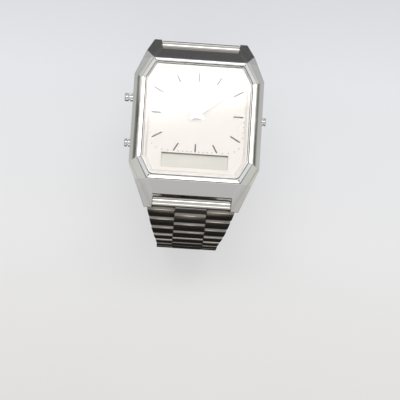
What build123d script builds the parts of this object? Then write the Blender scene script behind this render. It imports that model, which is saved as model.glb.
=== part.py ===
from build123d import *
import math
import os

# Wristwatch with hands and a small display, on a folding-clasp bracelet, in millimetres.
# The origin is the centre of the case back's outer face, +Z out of the dial and +Y to twelve o'clock.

# Case: plated resin body with four lugs
CASE_WIDTH = 29.8
CASE_LENGTH = 39.4
CASE_SIDE_FLAT = 20.4
LUG_TIP_WIDTH = 21.8
BODY_BASE = 0.2
SIDE_FOOT = 1.3
FOOT_INSET = 1.2
DECK_HEIGHT = 7.4
SHOULDER_DROP = 1.8
SHOULDER_LOW = DECK_HEIGHT - SHOULDER_DROP
DECK_MARGIN = 0.15
END_DECK_Y = 13.95
NOTCH_WALL_Y = 16.85
LUG_TIP_HEIGHT = 1.0
LUG_GAP = 18.3
BAR_Y = 18.2
BAR_HEIGHT = 1.15
EDGE_ROUND = 0.22

# Bezel: polished ring round the crystal, part of the case body
SHOULDER_WIDTH = 1.9
RING_WIDTH = CASE_WIDTH - 2 * SHOULDER_WIDTH
RING_LENGTH = 27.6
RING_SIDE_FLAT = 18.6
RING_CORNER_X = 10.51
RING_STEP = 0.38
RING_HEIGHT = 8.2
RING_BAND = 0.55
SEAT_INSET = 0.6
SEAT_HEIGHT = 7.2
SEAT_ROUND = 1.3
CAVITY_INSET = 1.2

# Crystal and its gasket
CRYSTAL_INSET = 0.9
CRYSTAL_TOP = 8.6
CRYSTAL_BEVEL = 0.28
GASKET_SLACK = 0.03
GASKET_HEIGHT = 0.85

# Dial, ring and markers
DIAL_BASE = 5.4
DIAL_THICKNESS = 0.4
DIAL_INSET = 1.3
DIAL_RING_INSET = 1.25
DIAL_RING_LIP = 1.7
DIAL_RING_FOOT = 2.1
DIAL_RING_GAP = 0.05
HUB_Y = 1.5
DIAL_HOLE = 1.7
WINDOW_MARGIN = 5.4
WINDOW_WIDTH = RING_WIDTH - 2 * WINDOW_MARGIN
WINDOW_HEIGHT = 3.2
WINDOW_Y = -9.3
MARKER_WIDTH = 0.3
MARKER_HEIGHT = 0.06
# Outer end and length of the bars at each hour from 12 round to 11, along their own radius
MARKER_REACH = (9.6, 10.2, 11.9, 10.5, 11.6, 9.9, 8.7, 9.9, 11.6, 10.5, 11.9, 10.2)
MARKER_LENGTH = (2.0, 2.0, 2.6, 2.2, 2.6, 2.1, 1.9, 2.1, 2.6, 2.2, 2.6, 2.0)

# Hands
HOUR_HAND_LEVEL = 6.05
MINUTE_HAND_LEVEL = 6.45
HAND_THICKNESS = 0.14
HOUR_HAND_REACH = 5.4
MINUTE_HAND_REACH = 7.9
HOUR_HAND_WIDTH = 0.95
MINUTE_HAND_WIDTH = 0.8
HAND_TAIL = 1.9
HAND_TIP_SHARE = 0.62
HAND_TAIL_SHARE = 0.8
HOUR_BOSS = 2.1
MINUTE_BOSS = 1.9
MINUTE_CAP_TOP = 6.8
MINUTE_CAP_SHARE = 0.36
HOUR_HAND_ANGLE = 304.5
MINUTE_HAND_ANGLE = 54.0

# Module frame and bridge
MODULE_INSET = 1.5
MODULE_WALL = 0.8
PLATE_BASE = 4.25
PLATE_TOP = 5.35
POCKET_FLOOR = 4.5
POCKET_MARGIN = 0.35
BOARD_BASE = 1.5
BOARD_TOP = 1.95
BRIDGE_BASE = 2.1
BRIDGE_TOP = 2.4
BRIDGE_ROUND = 1.2
PILLAR_RADIUS = 0.7
PILLARS = ((-3.2, -1.9), (3.4, 6.0), (5.9, -5.6))
SCREW_RADIUS = 0.4
SCREW_HEAD_RADIUS = 0.75
SCREW_HEAD_HEIGHT = 0.13
SCREW_LENGTH = 1.2
FIT = 0.03
CLEARANCE = 0.1
OVERRUN = 2.0

# Display panel and its rubber connectors
PANEL_LEDGE = 0.8
PANEL_WIDTH = WINDOW_WIDTH + 2 * PANEL_LEDGE
PANEL_LENGTH = 5.0
PANEL_BASE = 4.42
PANEL_TOP = 5.3
STRIP_END_GAP = 0.9
STRIP_LENGTH = PANEL_WIDTH - 2 * STRIP_END_GAP
STRIP_WIDTH = 0.7
STRIP_OFFSET = 1.8

# Circuit parts, battery and buzzer
CAN_RADIUS = 0.75
CAN_LENGTH = 5.0
CAN_X = -8.4
CAN_Y = -2.4
CHIP_SIDE = 5.0
CHIP_HEIGHT = 0.45
CHIP_X = 5.0
CHIP_Y = 8.0
BATTERY_RADIUS = 4.75
BATTERY_BASE = 1.3
BATTERY_HEIGHT = 2.7
BATTERY_X = -6.6
BATTERY_Y = 7.4
BATTERY_STEP = 0.5
CLAMP_THICKNESS = 0.2
CLAMP_WIDTH = 2.4
CLAMP_OVERLAP = 1.2
BUZZER_RADIUS = 6.0
BUZZER_THICKNESS = 0.25
BUZZER_X = 3.5
BUZZER_Y = -4.0

# Gear train: minute arbor in the middle, then third wheel and rotor
GOING_MODULE = 0.09
CENTRE_TEETH = 80
THIRD_TEETH = 72
PINION_TEETH = 8
GOING_DIRECTION = -20.0
ROTOR_DIRECTION = -40.0
WHEEL_THICKNESS = 0.2
CENTRE_WHEEL_BASE = 3.9
THIRD_WHEEL_BASE = 3.3
ROTOR_MAGNET_BASE = 2.62
ROTOR_MAGNET_HEIGHT = 0.45
ROTOR_MAGNET_RADIUS = 0.8
PIVOT_RADIUS = 0.12
PIVOT_FIT = 0.02
ARBOR_RADIUS = 0.3
CANNON_TEETH = 12
CANNON_WHEEL_TEETH = 36
CANNON_MODULE = 0.12
CANNON_BASE = 4.55
CANNON_TOP = 4.92
MOTION_TEETH = 48
MOTION_MODULE = 0.096
MINUTE_WORK_BASE = 4.58
HOUR_WHEEL_BASE = 5.02
POST_RADIUS = 0.25
PIPE_RADIUS = 0.65
PIPE_BORE = 0.4
TOOTH_SHARES = (0.30, 0.23, 0.13)
ROOT_SHARE = 1.25

# Stepping motor
STATOR_BASE = 2.65
STATOR_THICKNESS = 0.4
STATOR_PAD = 1.8
STATOR_LIMB = 1.5
STATOR_LEFT = 5.2
STATOR_RIGHT = 9.6
STATOR_END_Y = 10.2
ROTOR_HOLE = 1.05
CORE_X = 8.9
CORE_WIDTH = 1.0
CORE_THICKNESS = 0.3
COIL_WIDTH = 1.9
COIL_HEIGHT = 1.3
COIL_ROUND_SHARE = 0.4
COIL_LOW_Y = 0.4
COIL_HIGH_Y = 8.0

# Case back, its gasket and screws
BACK_THICKNESS = 0.9
BACK_MARGIN = 1.6
BACK_WIDTH = CASE_WIDTH - 2 * BACK_MARGIN
BACK_SIDE_FLAT = 17.6
BACK_CORNER_X = 11.0
BACK_LENGTH = 31.0
BACK_SLACK = 0.06
BACK_EDGE = 0.2
GROOVE_OFFSET = 0.35
GROOVE_WIDTH = 0.6
GROOVE_DEPTH = 0.4
BACK_SCREW_X = 10.2
BACK_SCREW_Y = 14.3
BACK_SCREW_RADIUS = 0.55
BACK_SCREW_LENGTH = 3.0
BACK_HEAD_RADIUS = 1.0
BACK_HEAD_HEIGHT = 0.42
CROSS_WIDTH = 0.24
CROSS_LENGTH = 1.2
CROSS_DEPTH = 0.22

# Push buttons
BUTTON_HEIGHT = 4.0
BUTTON_RADIUS = 0.925
BUTTON_GUIDE = 1.0
BUTTON_GUIDE_DEPTH = 1.5
BUTTON_SKIRT = 0.35
BUTTON_EDGE = 0.16
STEM_RADIUS = 0.45
STEM_BORE = 0.5
STEM_END = 3.6
GLAND_FROM = 2.0
GLAND_TO = 2.3
GLAND_RADIUS = 0.29
O_RING_MAJOR = 0.385
O_RING_MINOR = 0.09
CLIP_RADIUS = 0.85
CLIP_BORE = 0.36
CLIP_THICKNESS = 0.2
CLIP_GAP = 0.03
SPRING_RADIUS = 0.7
SPRING_WIRE = 0.08
SPRING_TURNS = 3
BUTTON_NOTCH = 2.4
# Name, side of the case, place along it and how far the cap stands out
BUTTONS = (
    ("pusher_upper_left", -1, 4.9, 1.9),
    ("pusher_lower_left", -1, -5.6, 1.35),
    ("pusher_right", 1, 1.2, 0.95),
)

# Bracelet
SPRING_BAR_RADIUS = 0.75
SPRING_TIP_RADIUS = 0.4
SPRING_TIP_LENGTH = 1.0
TUBE_RADIUS = 1.2
TUBE_SLACK = 0.1
LINK_PITCH = 4.1
LINK_THICKNESS = 2.0
LINK_GAP = 0.1
LINK_OUTER_ROUND = 0.42
LINK_INNER_ROUND = 0.9
FIRST_LINK = 1.65
CENTRE_COLUMN = 7.3
COLUMN_GAP = 0.08
STRAP_WIDE = 20.3
STRAP_NARROW = 14.8
TAPER_ROWS = 4.5
LINK_PIN_RADIUS = 0.4
LINK_PIN_FIT = 0.04
RIVET_FIT = 0.02
PIN_INSET = 0.12
ROWS = 10
TAIL_ROWS = 6
# Slope in degrees of the end piece and then of each row, from the case to the clasp
STRAP_12_ANGLES = (75.0, 76.0, 77.0, 78.0, 79.0, 81.0, 86.0, 96.0, 111.3, 132.5, 156.0)
STRAP_6_ANGLES = (62.0, 64.0, 67.0, 72.0, 79.0, 83.0, 87.0, 93.2, 106.1, 125.3, 150.3)

# Folding clasp
COVER_THICKNESS = 0.6
COVER_DROP = 2.95
COVER_SIDE = 0.5
COVER_WIDTH = STRAP_NARROW + 2 * COVER_SIDE
COVER_FREE_END = 1.6
COVER_WALL = 0.4
COVER_WALL_TOP = 1.65
COVER_WALL_INSET = 0.2
KNUCKLE_RADIUS = 0.95
CLASP_PIN_RADIUS = 0.35
CLASP_PIN_FIT = 0.04
LEAF_WIDTH = 10.4
LEAF_THICKNESS = 0.5
LEAF_DROP = 2.0
LEAF_BARREL = 0.72
LEAF_SLOT_WIDTH = 2.2
LEAF_SLOT_MARGIN = 4.0
FOLD_Y = -14.494
SLIDER_PIVOT_Y = 8.206
SLIDER_LOW_Y = 0.906
SLIDER_HIGH_Y = 6.306
SLIDER_WALL = 0.4
SLIDER_SLACK = 0.05
SLIDER_EAR = 0.5
SLIDER_EAR_GAP = 0.2
SLIDER_EYE = 0.85
SLIDER_EYE_BORE = 0.6
LOCK_Y = 1.806
LOCK_RISE = 1.98
LOCK_PIN_RADIUS = 0.2
LOCK_BARREL = 0.4
LOCK_WIDTH = 11.0
LOCK_THICKNESS = 0.35
LOCK_LENGTH = 5.2
LOCK_LIP = 0.5
LOCK_EAR = 0.5

CASE_OUTLINE = (CASE_WIDTH / 2, CASE_SIDE_FLAT / 2, LUG_TIP_WIDTH / 2, CASE_LENGTH / 2)
RING_OUTLINE = (RING_WIDTH / 2, RING_SIDE_FLAT / 2, RING_CORNER_X, RING_LENGTH / 2)
BACK_OUTLINE = (BACK_WIDTH / 2, BACK_SIDE_FLAT / 2, BACK_CORNER_X, BACK_LENGTH / 2)
UP = (0, 0, 1)


# Plan outlines and plain shapes
def plan(outline, grow=0, rounding=0):
    """An eight-sided plan with straight sides and ends, moved outwards by grow."""
    half_width, flat, corner, half_length = outline
    slant = Vector(half_length - flat, half_width - corner).normalized()
    reach = slant.X * half_width + slant.Y * flat + grow
    side = half_width + grow
    end = half_length + grow
    quarter = [(side, (reach - slant.X * side) / slant.Y), ((reach - slant.Y * end) / slant.X, end)]
    points = quarter + [(-x, y) for x, y in reversed(quarter)]
    points = points + [(-x, -y) for x, y in points]
    face = Polygon(*points, align=None)
    if rounding:
        face = fillet(face.vertices(), rounding)
    return face


def slab(face, low, high):
    """A flat face made solid between two heights."""
    return Pos(0, 0, low) * extrude(face, amount=high - low, dir=UP)


def block(x_low, x_high, y_low, y_high, z_low, z_high):
    """A box between two corners."""
    box = Box(x_high - x_low, y_high - y_low, z_high - z_low, align=(Align.MIN, Align.MIN, Align.MIN))
    return Pos(x_low, y_low, z_low) * box


def upright(x, y, radius, low, high):
    """A round bar standing along Z."""
    bar = Cylinder(radius, high - low, align=(Align.CENTER, Align.CENTER, Align.MIN))
    return Pos(x, y, low) * bar


def crossbar(y, z, radius, half_length):
    """A round bar lying along X, centred on the case."""
    return Pos(0, y, z) * (Rot(0, 90, 0) * Cylinder(radius, 2 * half_length))


def trim(solid, a, b, c):
    """The solid without what lies beyond the plane through three points, seen from inside the case."""
    a, b, c = Vector(*a), Vector(*b), Vector(*c)
    normal = (b - a).cross(c - a).normalized()
    if normal.dot(a - Vector(0, 0, SHOULDER_LOW)) < 0:
        normal = normal * -1
    return split(solid, bisect_by=Plane(origin=a, z_dir=normal), keep=Keep.BOTTOM)


def save(name, shape):
    """Writes one node."""
    export_step(shape, "parts/" + name + ".step")


def group(solids):
    """Separate solids kept together in one node."""
    return Compound(children=[solid for item in solids for solid in item.solids()])


# Case
def case_shell():
    """The outer block: vertical sides, shoulders, sloping ends and a narrower foot."""
    side, flat, tip, end = CASE_OUTLINE
    ring_side, ring_flat, ring_corner, ring_end = RING_OUTLINE
    deck_side = ring_side + DECK_MARGIN
    body = slab(plan(CASE_OUTLINE), BODY_BASE, DECK_HEIGHT)
    for x in (-1, 1):
        edge = x * side
        deck = x * deck_side
        corner = x * (ring_corner + DECK_MARGIN)
        body = trim(body, (edge, flat, SHOULDER_LOW), (deck, ring_flat, DECK_HEIGHT),
                    (edge, -flat, SHOULDER_LOW))
        foot = x * (side - FOOT_INSET)
        body = trim(body, (edge, flat, SIDE_FOOT), (edge, -flat, SIDE_FOOT), (foot, flat, BODY_BASE))
        for y in (-1, 1):
            body = trim(body, (edge, y * flat, SHOULDER_LOW), (deck, y * ring_flat, DECK_HEIGHT),
                        (corner, y * END_DECK_Y, DECK_HEIGHT))
    for y in (-1, 1):
        body = trim(body, (0, y * END_DECK_Y, DECK_HEIGHT), (0, y * end, LUG_TIP_HEIGHT),
                    (tip, y * end, LUG_TIP_HEIGHT))
    return fillet(body.edges(), EDGE_ROUND)


def bezel():
    """The polished ring: a short step and then a slope up to the crystal."""
    step = slab(plan(RING_OUTLINE), SEAT_HEIGHT, DECK_HEIGHT + RING_STEP)
    foot = Pos(0, 0, DECK_HEIGHT + RING_STEP) * plan(RING_OUTLINE)
    crest = Pos(0, 0, RING_HEIGHT) * plan(RING_OUTLINE, -RING_BAND)
    return step + loft([foot, crest], ruled=True)


def button_bore(side, y):
    """What a push button needs cut out of the case wall."""
    wall = CASE_WIDTH / 2
    inner = RING_WIDTH / 2 - CAVITY_INSET
    cut = upright(0, 0, BUTTON_GUIDE, wall - BUTTON_GUIDE_DEPTH, wall + OVERRUN)
    cut += upright(0, 0, STEM_BORE, inner - OVERRUN / 2, wall + OVERRUN / 2)
    return Pos(0, y, BUTTON_HEIGHT) * (Rot(0, side * 90, 0) * cut)


def case_body():
    """Plated resin body: cavity open to the back, crystal seat, lug notches and button bores."""
    body = case_shell() + bezel()
    body -= slab(plan(RING_OUTLINE, -SEAT_INSET, SEAT_ROUND), SEAT_HEIGHT, CRYSTAL_TOP + OVERRUN)
    body -= slab(plan(RING_OUTLINE, -CAVITY_INSET), -OVERRUN, CRYSTAL_TOP)
    body -= slab(plan(BACK_OUTLINE, BACK_SLACK), -OVERRUN, BACK_THICKNESS)
    groove = plan(RING_OUTLINE, GROOVE_OFFSET + GROOVE_WIDTH - CAVITY_INSET)
    groove -= plan(RING_OUTLINE, GROOVE_OFFSET - CAVITY_INSET)
    body -= slab(groove, BACK_THICKNESS - FIT, BACK_THICKNESS + GROOVE_DEPTH)
    for y in (-1, 1):
        near, far = sorted((y * NOTCH_WALL_Y, y * CASE_LENGTH))
        body -= block(-LUG_GAP / 2, LUG_GAP / 2, near, far, -OVERRUN, CRYSTAL_TOP)
        body -= crossbar(y * BAR_Y, BAR_HEIGHT, SPRING_TIP_RADIUS + FIT, LUG_GAP / 2 + SPRING_TIP_LENGTH)
        for x in (-1, 1):
            top = BACK_SCREW_LENGTH + CLEARANCE
            body -= upright(x * BACK_SCREW_X, y * BACK_SCREW_Y, BACK_SCREW_RADIUS + FIT, -OVERRUN, top)
    for name, side, y, stand in BUTTONS:
        body -= button_bore(side, y)
    return body


def crystal():
    """Flat glass with a bevelled rim."""
    glass = slab(plan(RING_OUTLINE, -CRYSTAL_INSET, SEAT_ROUND), SEAT_HEIGHT, CRYSTAL_TOP)
    return chamfer(glass.faces().sort_by(Axis.Z)[-1].edges(), CRYSTAL_BEVEL)


def crystal_gasket():
    """Thin seal that holds the glass in its seat."""
    ring = plan(RING_OUTLINE, -SEAT_INSET - GASKET_SLACK, SEAT_ROUND)
    ring -= plan(RING_OUTLINE, GASKET_SLACK - CRYSTAL_INSET, SEAT_ROUND)
    return slab(ring, SEAT_HEIGHT, SEAT_HEIGHT + GASKET_HEIGHT)


def case_back():
    """Steel plate with four counterbored screw holes."""
    plate = slab(plan(BACK_OUTLINE), 0, BACK_THICKNESS)
    plate = chamfer(plate.faces().sort_by(Axis.Z)[0].edges(), BACK_EDGE)
    for x in (-1, 1):
        for y in (-1, 1):
            place = (x * BACK_SCREW_X, y * BACK_SCREW_Y)
            plate -= upright(*place, BACK_SCREW_RADIUS + FIT, -OVERRUN, BACK_THICKNESS + OVERRUN)
            plate -= upright(*place, BACK_HEAD_RADIUS + FIT, -OVERRUN, BACK_HEAD_HEIGHT + FIT)
    return plate


def case_back_screws():
    """Four cross-head screws, heads just below the back's outer face."""
    arm = block(-CROSS_LENGTH / 2, CROSS_LENGTH / 2, -CROSS_WIDTH / 2, CROSS_WIDTH / 2,
                -OVERRUN, FIT + CROSS_DEPTH)
    screw = upright(0, 0, BACK_SCREW_RADIUS, FIT, BACK_SCREW_LENGTH)
    screw += upright(0, 0, BACK_HEAD_RADIUS, FIT, BACK_HEAD_HEIGHT)
    screw -= arm
    screw -= Rot(0, 0, 90) * arm
    return group([Pos(x * BACK_SCREW_X, y * BACK_SCREW_Y, 0) * screw for x in (-1, 1) for y in (-1, 1)])


def case_back_gasket():
    """Rubber ring in the groove round the cavity."""
    ring = plan(RING_OUTLINE, GROOVE_OFFSET + GROOVE_WIDTH - CAVITY_INSET - GASKET_SLACK)
    ring -= plan(RING_OUTLINE, GROOVE_OFFSET - CAVITY_INSET + GASKET_SLACK)
    return slab(ring, BACK_THICKNESS, BACK_THICKNESS + GROOVE_DEPTH - FIT)


# Push buttons
def button_parts(stand):
    """Cap with its stem, o-ring and retaining clip, along +Z from the case wall."""
    low = (Align.CENTER, Align.CENTER, Align.MIN)
    cap = Pos(0, 0, -BUTTON_SKIRT) * Cylinder(BUTTON_RADIUS, stand + BUTTON_SKIRT, align=low)
    cap = fillet(cap.faces().sort_by(Axis.Z)[-1].edges(), BUTTON_EDGE)
    stem = Pos(0, 0, -STEM_END) * Cylinder(STEM_RADIUS, STEM_END, align=low)
    gland = Cylinder(STEM_RADIUS + FIT, GLAND_TO - GLAND_FROM, align=low)
    gland -= Cylinder(GLAND_RADIUS, GLAND_TO - GLAND_FROM, align=low)
    inner = (CASE_WIDTH - RING_WIDTH) / 2 + CAVITY_INSET + CLIP_GAP
    slot = Cylinder(STEM_RADIUS + FIT, CLIP_THICKNESS, align=low)
    slot -= Cylinder(CLIP_BORE - FIT, CLIP_THICKNESS, align=low)
    push = cap + stem - Pos(0, 0, -GLAND_TO) * gland - Pos(0, 0, -inner - CLIP_THICKNESS) * slot
    seal = Pos(0, 0, -(GLAND_FROM + GLAND_TO) / 2) * Torus(O_RING_MAJOR, O_RING_MINOR)
    clip = Cylinder(CLIP_RADIUS, CLIP_THICKNESS, align=low) - Cylinder(CLIP_BORE, CLIP_THICKNESS, align=low)
    return [push, seal, Pos(0, 0, -inner - CLIP_THICKNESS) * clip]


def button_spring():
    """Wire spring between the cap and the floor of its guide."""
    room = BUTTON_GUIDE_DEPTH - BUTTON_SKIRT - 2 * (SPRING_WIRE + FIT)
    path = Helix(pitch=room / SPRING_TURNS, height=room, radius=SPRING_RADIUS)
    section = Plane(origin=path @ 0, z_dir=path % 0) * Circle(SPRING_WIRE)
    return Pos(0, 0, -BUTTON_GUIDE_DEPTH + SPRING_WIRE + FIT) * sweep(section, path=path)


def on_wall(shape, side, y):
    """Turns a part built along +Z so that it stands out of the case's side wall."""
    return Pos(side * CASE_WIDTH / 2, y, BUTTON_HEIGHT) * (Rot(0, side * 90, 0) * shape)


# Gear train
def gear(teeth, module, tooth_at, low, high):
    """A spur gear standing along Z with one tooth centred at the given angle."""
    pitch = 2 * math.pi / teeth
    radius = teeth * module / 2
    rings = (radius - ROOT_SHARE * module, radius, radius + module)
    profile = []
    for number in range(teeth):
        centre = math.radians(tooth_at) + number * pitch
        rise = [(ring, centre - share * pitch) for ring, share in zip(rings, TOOTH_SHARES)]
        fall = [(ring, centre + share * pitch) for ring, share in reversed(list(zip(rings, TOOTH_SHARES)))]
        profile += [(ring * math.cos(turn), ring * math.sin(turn)) for ring, turn in rise + fall]
    return slab(Polygon(*profile, align=None), low, high)


def gear_distance(teeth_a, teeth_b, module):
    """Centre distance of two gears in mesh."""
    return (teeth_a + teeth_b) * module / 2


def step_from(place, distance, degrees):
    """A place at a distance and direction from another."""
    turn = math.radians(degrees)
    return (place[0] + distance * math.cos(turn), place[1] + distance * math.sin(turn))


HUB = (0, HUB_Y)
THIRD_AXIS = step_from(HUB, gear_distance(CENTRE_TEETH, PINION_TEETH, GOING_MODULE), GOING_DIRECTION)
ROTOR_AXIS = step_from(THIRD_AXIS, gear_distance(THIRD_TEETH, PINION_TEETH, GOING_MODULE), ROTOR_DIRECTION)
MINUTE_WORK_AXIS = step_from(HUB, gear_distance(CANNON_TEETH, CANNON_WHEEL_TEETH, CANNON_MODULE), 180)


def centre_wheel():
    """Wheel, arbor and cannon pinion that carry the minute hand."""
    low = CENTRE_WHEEL_BASE
    wheel = gear(CENTRE_TEETH, GOING_MODULE, GOING_DIRECTION, low, low + WHEEL_THICKNESS)
    wheel += upright(0, 0, ARBOR_RADIUS, BRIDGE_TOP + CLEARANCE, MINUTE_HAND_LEVEL + HAND_THICKNESS)
    wheel += upright(0, 0, PIVOT_RADIUS, BRIDGE_BASE, BRIDGE_TOP + CLEARANCE)
    wheel += gear(CANNON_TEETH, CANNON_MODULE, 180, CANNON_BASE, CANNON_TOP)
    return Pos(*HUB, 0) * wheel


def third_wheel():
    """Wheel and pinion between the rotor and the centre wheel."""
    half_tooth = 180 / PINION_TEETH
    low = THIRD_WHEEL_BASE
    top = CENTRE_WHEEL_BASE + WHEEL_THICKNESS
    wheel = gear(THIRD_TEETH, GOING_MODULE, ROTOR_DIRECTION, low, low + WHEEL_THICKNESS)
    wheel += gear(PINION_TEETH, GOING_MODULE, GOING_DIRECTION + 180 + half_tooth, low, top)
    wheel += upright(0, 0, PIVOT_RADIUS, BRIDGE_BASE, POCKET_FLOOR)
    return Pos(*THIRD_AXIS, 0) * wheel


def rotor():
    """Two-pole magnet on a long pinion."""
    half_tooth = 180 / PINION_TEETH
    magnet_top = ROTOR_MAGNET_BASE + ROTOR_MAGNET_HEIGHT
    pinion_top = THIRD_WHEEL_BASE + WHEEL_THICKNESS + CLEARANCE
    body = upright(0, 0, ROTOR_MAGNET_RADIUS, ROTOR_MAGNET_BASE, magnet_top)
    body += gear(PINION_TEETH, GOING_MODULE, ROTOR_DIRECTION + 180 + half_tooth, magnet_top, pinion_top)
    body += upright(0, 0, PIVOT_RADIUS, BRIDGE_BASE, POCKET_FLOOR)
    return Pos(*ROTOR_AXIS, 0) * body


def minute_work_wheel():
    """Wheel and pinion on a fixed post, under the dial."""
    half_tooth = 180 / CANNON_WHEEL_TEETH
    top = MINUTE_WORK_BASE + WHEEL_THICKNESS
    wheel = gear(CANNON_WHEEL_TEETH, CANNON_MODULE, half_tooth, MINUTE_WORK_BASE, top)
    wheel += gear(CANNON_TEETH, MOTION_MODULE, 0, top, HOUR_WHEEL_BASE + WHEEL_THICKNESS)
    wheel -= upright(0, 0, POST_RADIUS + FIT, POCKET_FLOOR, DIAL_BASE)
    return Pos(*MINUTE_WORK_AXIS, 0) * wheel


def hour_wheel():
    """Wheel with the pipe that carries the hour hand through the dial."""
    half_tooth = 180 / MOTION_TEETH
    low = HOUR_WHEEL_BASE
    wheel = gear(MOTION_TEETH, MOTION_MODULE, 180 + half_tooth, low, low + WHEEL_THICKNESS)
    wheel += upright(0, 0, PIPE_RADIUS, low, HOUR_HAND_LEVEL + HAND_THICKNESS)
    wheel -= upright(0, 0, PIPE_BORE, CANNON_TOP, MINUTE_HAND_LEVEL)
    return Pos(*HUB, 0) * wheel


def hand(reach, width, boss, bore, low, clockwise):
    """A slim straight hand with a ridged top, pointed at its end."""
    half = width / 2
    point = [(0, reach), (half * HAND_TIP_SHARE, reach - width), (half, 0)]
    point.append((half * HAND_TAIL_SHARE, -HAND_TAIL))
    outline = point + [(-x, y) for x, y in reversed(point[1:])]
    blade = slab(Polygon(*outline, align=None), low, low + HAND_THICKNESS)
    blade += upright(0, 0, boss / 2, low, low + HAND_THICKNESS)
    if bore:
        blade -= upright(0, 0, bore, low - OVERRUN, low + OVERRUN)
    return Pos(*HUB, 0) * (Rot(0, 0, -clockwise) * blade)


def hour_hand():
    """Short hand pressed on the hour pipe."""
    return hand(HOUR_HAND_REACH, HOUR_HAND_WIDTH, HOUR_BOSS, PIPE_RADIUS, HOUR_HAND_LEVEL, HOUR_HAND_ANGLE)


def minute_hand():
    """Long hand and its cap, pressed on the centre arbor."""
    low = MINUTE_HAND_LEVEL
    blade = hand(MINUTE_HAND_REACH, MINUTE_HAND_WIDTH, MINUTE_BOSS, 0, low, MINUTE_HAND_ANGLE)
    cap = upright(*HUB, MINUTE_BOSS * MINUTE_CAP_SHARE, low, MINUTE_CAP_TOP)
    socket = upright(*HUB, ARBOR_RADIUS, low - OVERRUN, low + HAND_THICKNESS)
    return blade + fillet(cap.faces().sort_by(Axis.Z)[-1].edges(), HAND_THICKNESS) - socket


# Module
def gear_pocket(margin, low, high):
    """Room on the dial side for the wheels that drive the hour hand."""
    wheel = CANNON_WHEEL_TEETH * CANNON_MODULE / 2 + CANNON_MODULE + margin
    hour = MOTION_TEETH * MOTION_MODULE / 2 + MOTION_MODULE + margin
    ends = Pos(*MINUTE_WORK_AXIS) * Circle(wheel) + Pos(*HUB) * Circle(hour)
    return slab(make_hull(ends.edges()), low, high)


def main_plate():
    """Moulded frame: plate under the dial, side wall, pillars and every bearing on the dial side."""
    plate = slab(plan(RING_OUTLINE, -MODULE_INSET), BOARD_TOP, PLATE_TOP)
    plate -= slab(plan(RING_OUTLINE, -MODULE_INSET - MODULE_WALL), BOARD_TOP - FIT, PLATE_BASE)
    plate -= upright(BATTERY_X, BATTERY_Y, BATTERY_RADIUS + CLEARANCE, 0, PLATE_BASE - CLEARANCE)
    for x, y in PILLARS:
        plate += upright(x, y, PILLAR_RADIUS, BRIDGE_TOP, PLATE_BASE)
        plate -= upright(x, y, SCREW_RADIUS + FIT, BRIDGE_BASE, BRIDGE_BASE + SCREW_LENGTH + CLEARANCE)
    plate -= gear_pocket(POCKET_MARGIN, POCKET_FLOOR, DIAL_BASE)
    plate += upright(*MINUTE_WORK_AXIS, POST_RADIUS, POCKET_FLOOR, PLATE_TOP)
    plate -= upright(*HUB, ARBOR_RADIUS + FIT, 0, DIAL_BASE)
    for axis in (THIRD_AXIS, ROTOR_AXIS):
        plate -= upright(*axis, PIVOT_RADIUS + PIVOT_FIT, 0, POCKET_FLOOR + CLEARANCE)
    half = PANEL_WIDTH / 2 + CLEARANCE
    deep = PANEL_LENGTH / 2 + CLEARANCE / 2
    plate -= block(-half, half, WINDOW_Y - deep, WINDOW_Y + deep, BOARD_TOP, DIAL_BASE)
    for name, side, y, stand in BUTTONS:
        near, far = sorted((side * CASE_WIDTH / 2, side * (RING_WIDTH / 2 - MODULE_INSET - MODULE_WALL)))
        plate -= block(near, far, y - BUTTON_NOTCH / 2, y + BUTTON_NOTCH / 2, 0, PLATE_TOP)
    return plate


def bridge_outline():
    """Round-cornered plate over the three train bearings and the pillars."""
    spots = [Pos(x, y) * Circle(BRIDGE_ROUND) for x, y in PILLARS + (ROTOR_AXIS,)]
    return make_hull([edge for spot in spots for edge in spot.edges()])


def train_bridge():
    """Thin metal bridge that holds the back pivots."""
    bridge = slab(bridge_outline(), BRIDGE_BASE, BRIDGE_TOP)
    for axis in (HUB, THIRD_AXIS, ROTOR_AXIS):
        bridge -= upright(*axis, PIVOT_RADIUS + PIVOT_FIT, 0, DIAL_BASE)
    for x, y in PILLARS:
        bridge -= upright(x, y, SCREW_RADIUS + FIT, 0, DIAL_BASE)
    return bridge


def bridge_screws():
    """Small screws from the bridge up into the pillars."""
    head_top = BRIDGE_BASE
    screw = upright(0, 0, SCREW_RADIUS, head_top, head_top + SCREW_LENGTH)
    screw += upright(0, 0, SCREW_HEAD_RADIUS, head_top - SCREW_HEAD_HEIGHT, head_top)
    return group([Pos(x, y, 0) * screw for x, y in PILLARS])


def stator():
    """Soft iron plate: rotor pad, two limbs and a spine."""
    pad = Pos(*ROTOR_AXIS) * Circle(STATOR_PAD)
    x, y = ROTOR_AXIS
    half = STATOR_LIMB / 2
    foot = Pos((x + STATOR_RIGHT) / 2, y) * Rectangle(STATOR_RIGHT - x, STATOR_LIMB)
    spine_x = STATOR_LEFT + half
    spine = Pos(spine_x, (y + STATOR_END_Y) / 2) * Rectangle(STATOR_LIMB, STATOR_END_Y - y)
    head = Pos((STATOR_LEFT + STATOR_RIGHT) / 2, STATOR_END_Y - half)
    head = head * Rectangle(STATOR_RIGHT - STATOR_LEFT, STATOR_LIMB)
    plate = pad + foot + spine + head - Pos(*ROTOR_AXIS) * Circle(ROTOR_HOLE)
    return slab(plate, STATOR_BASE, STATOR_BASE + STATOR_THICKNESS)


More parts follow.
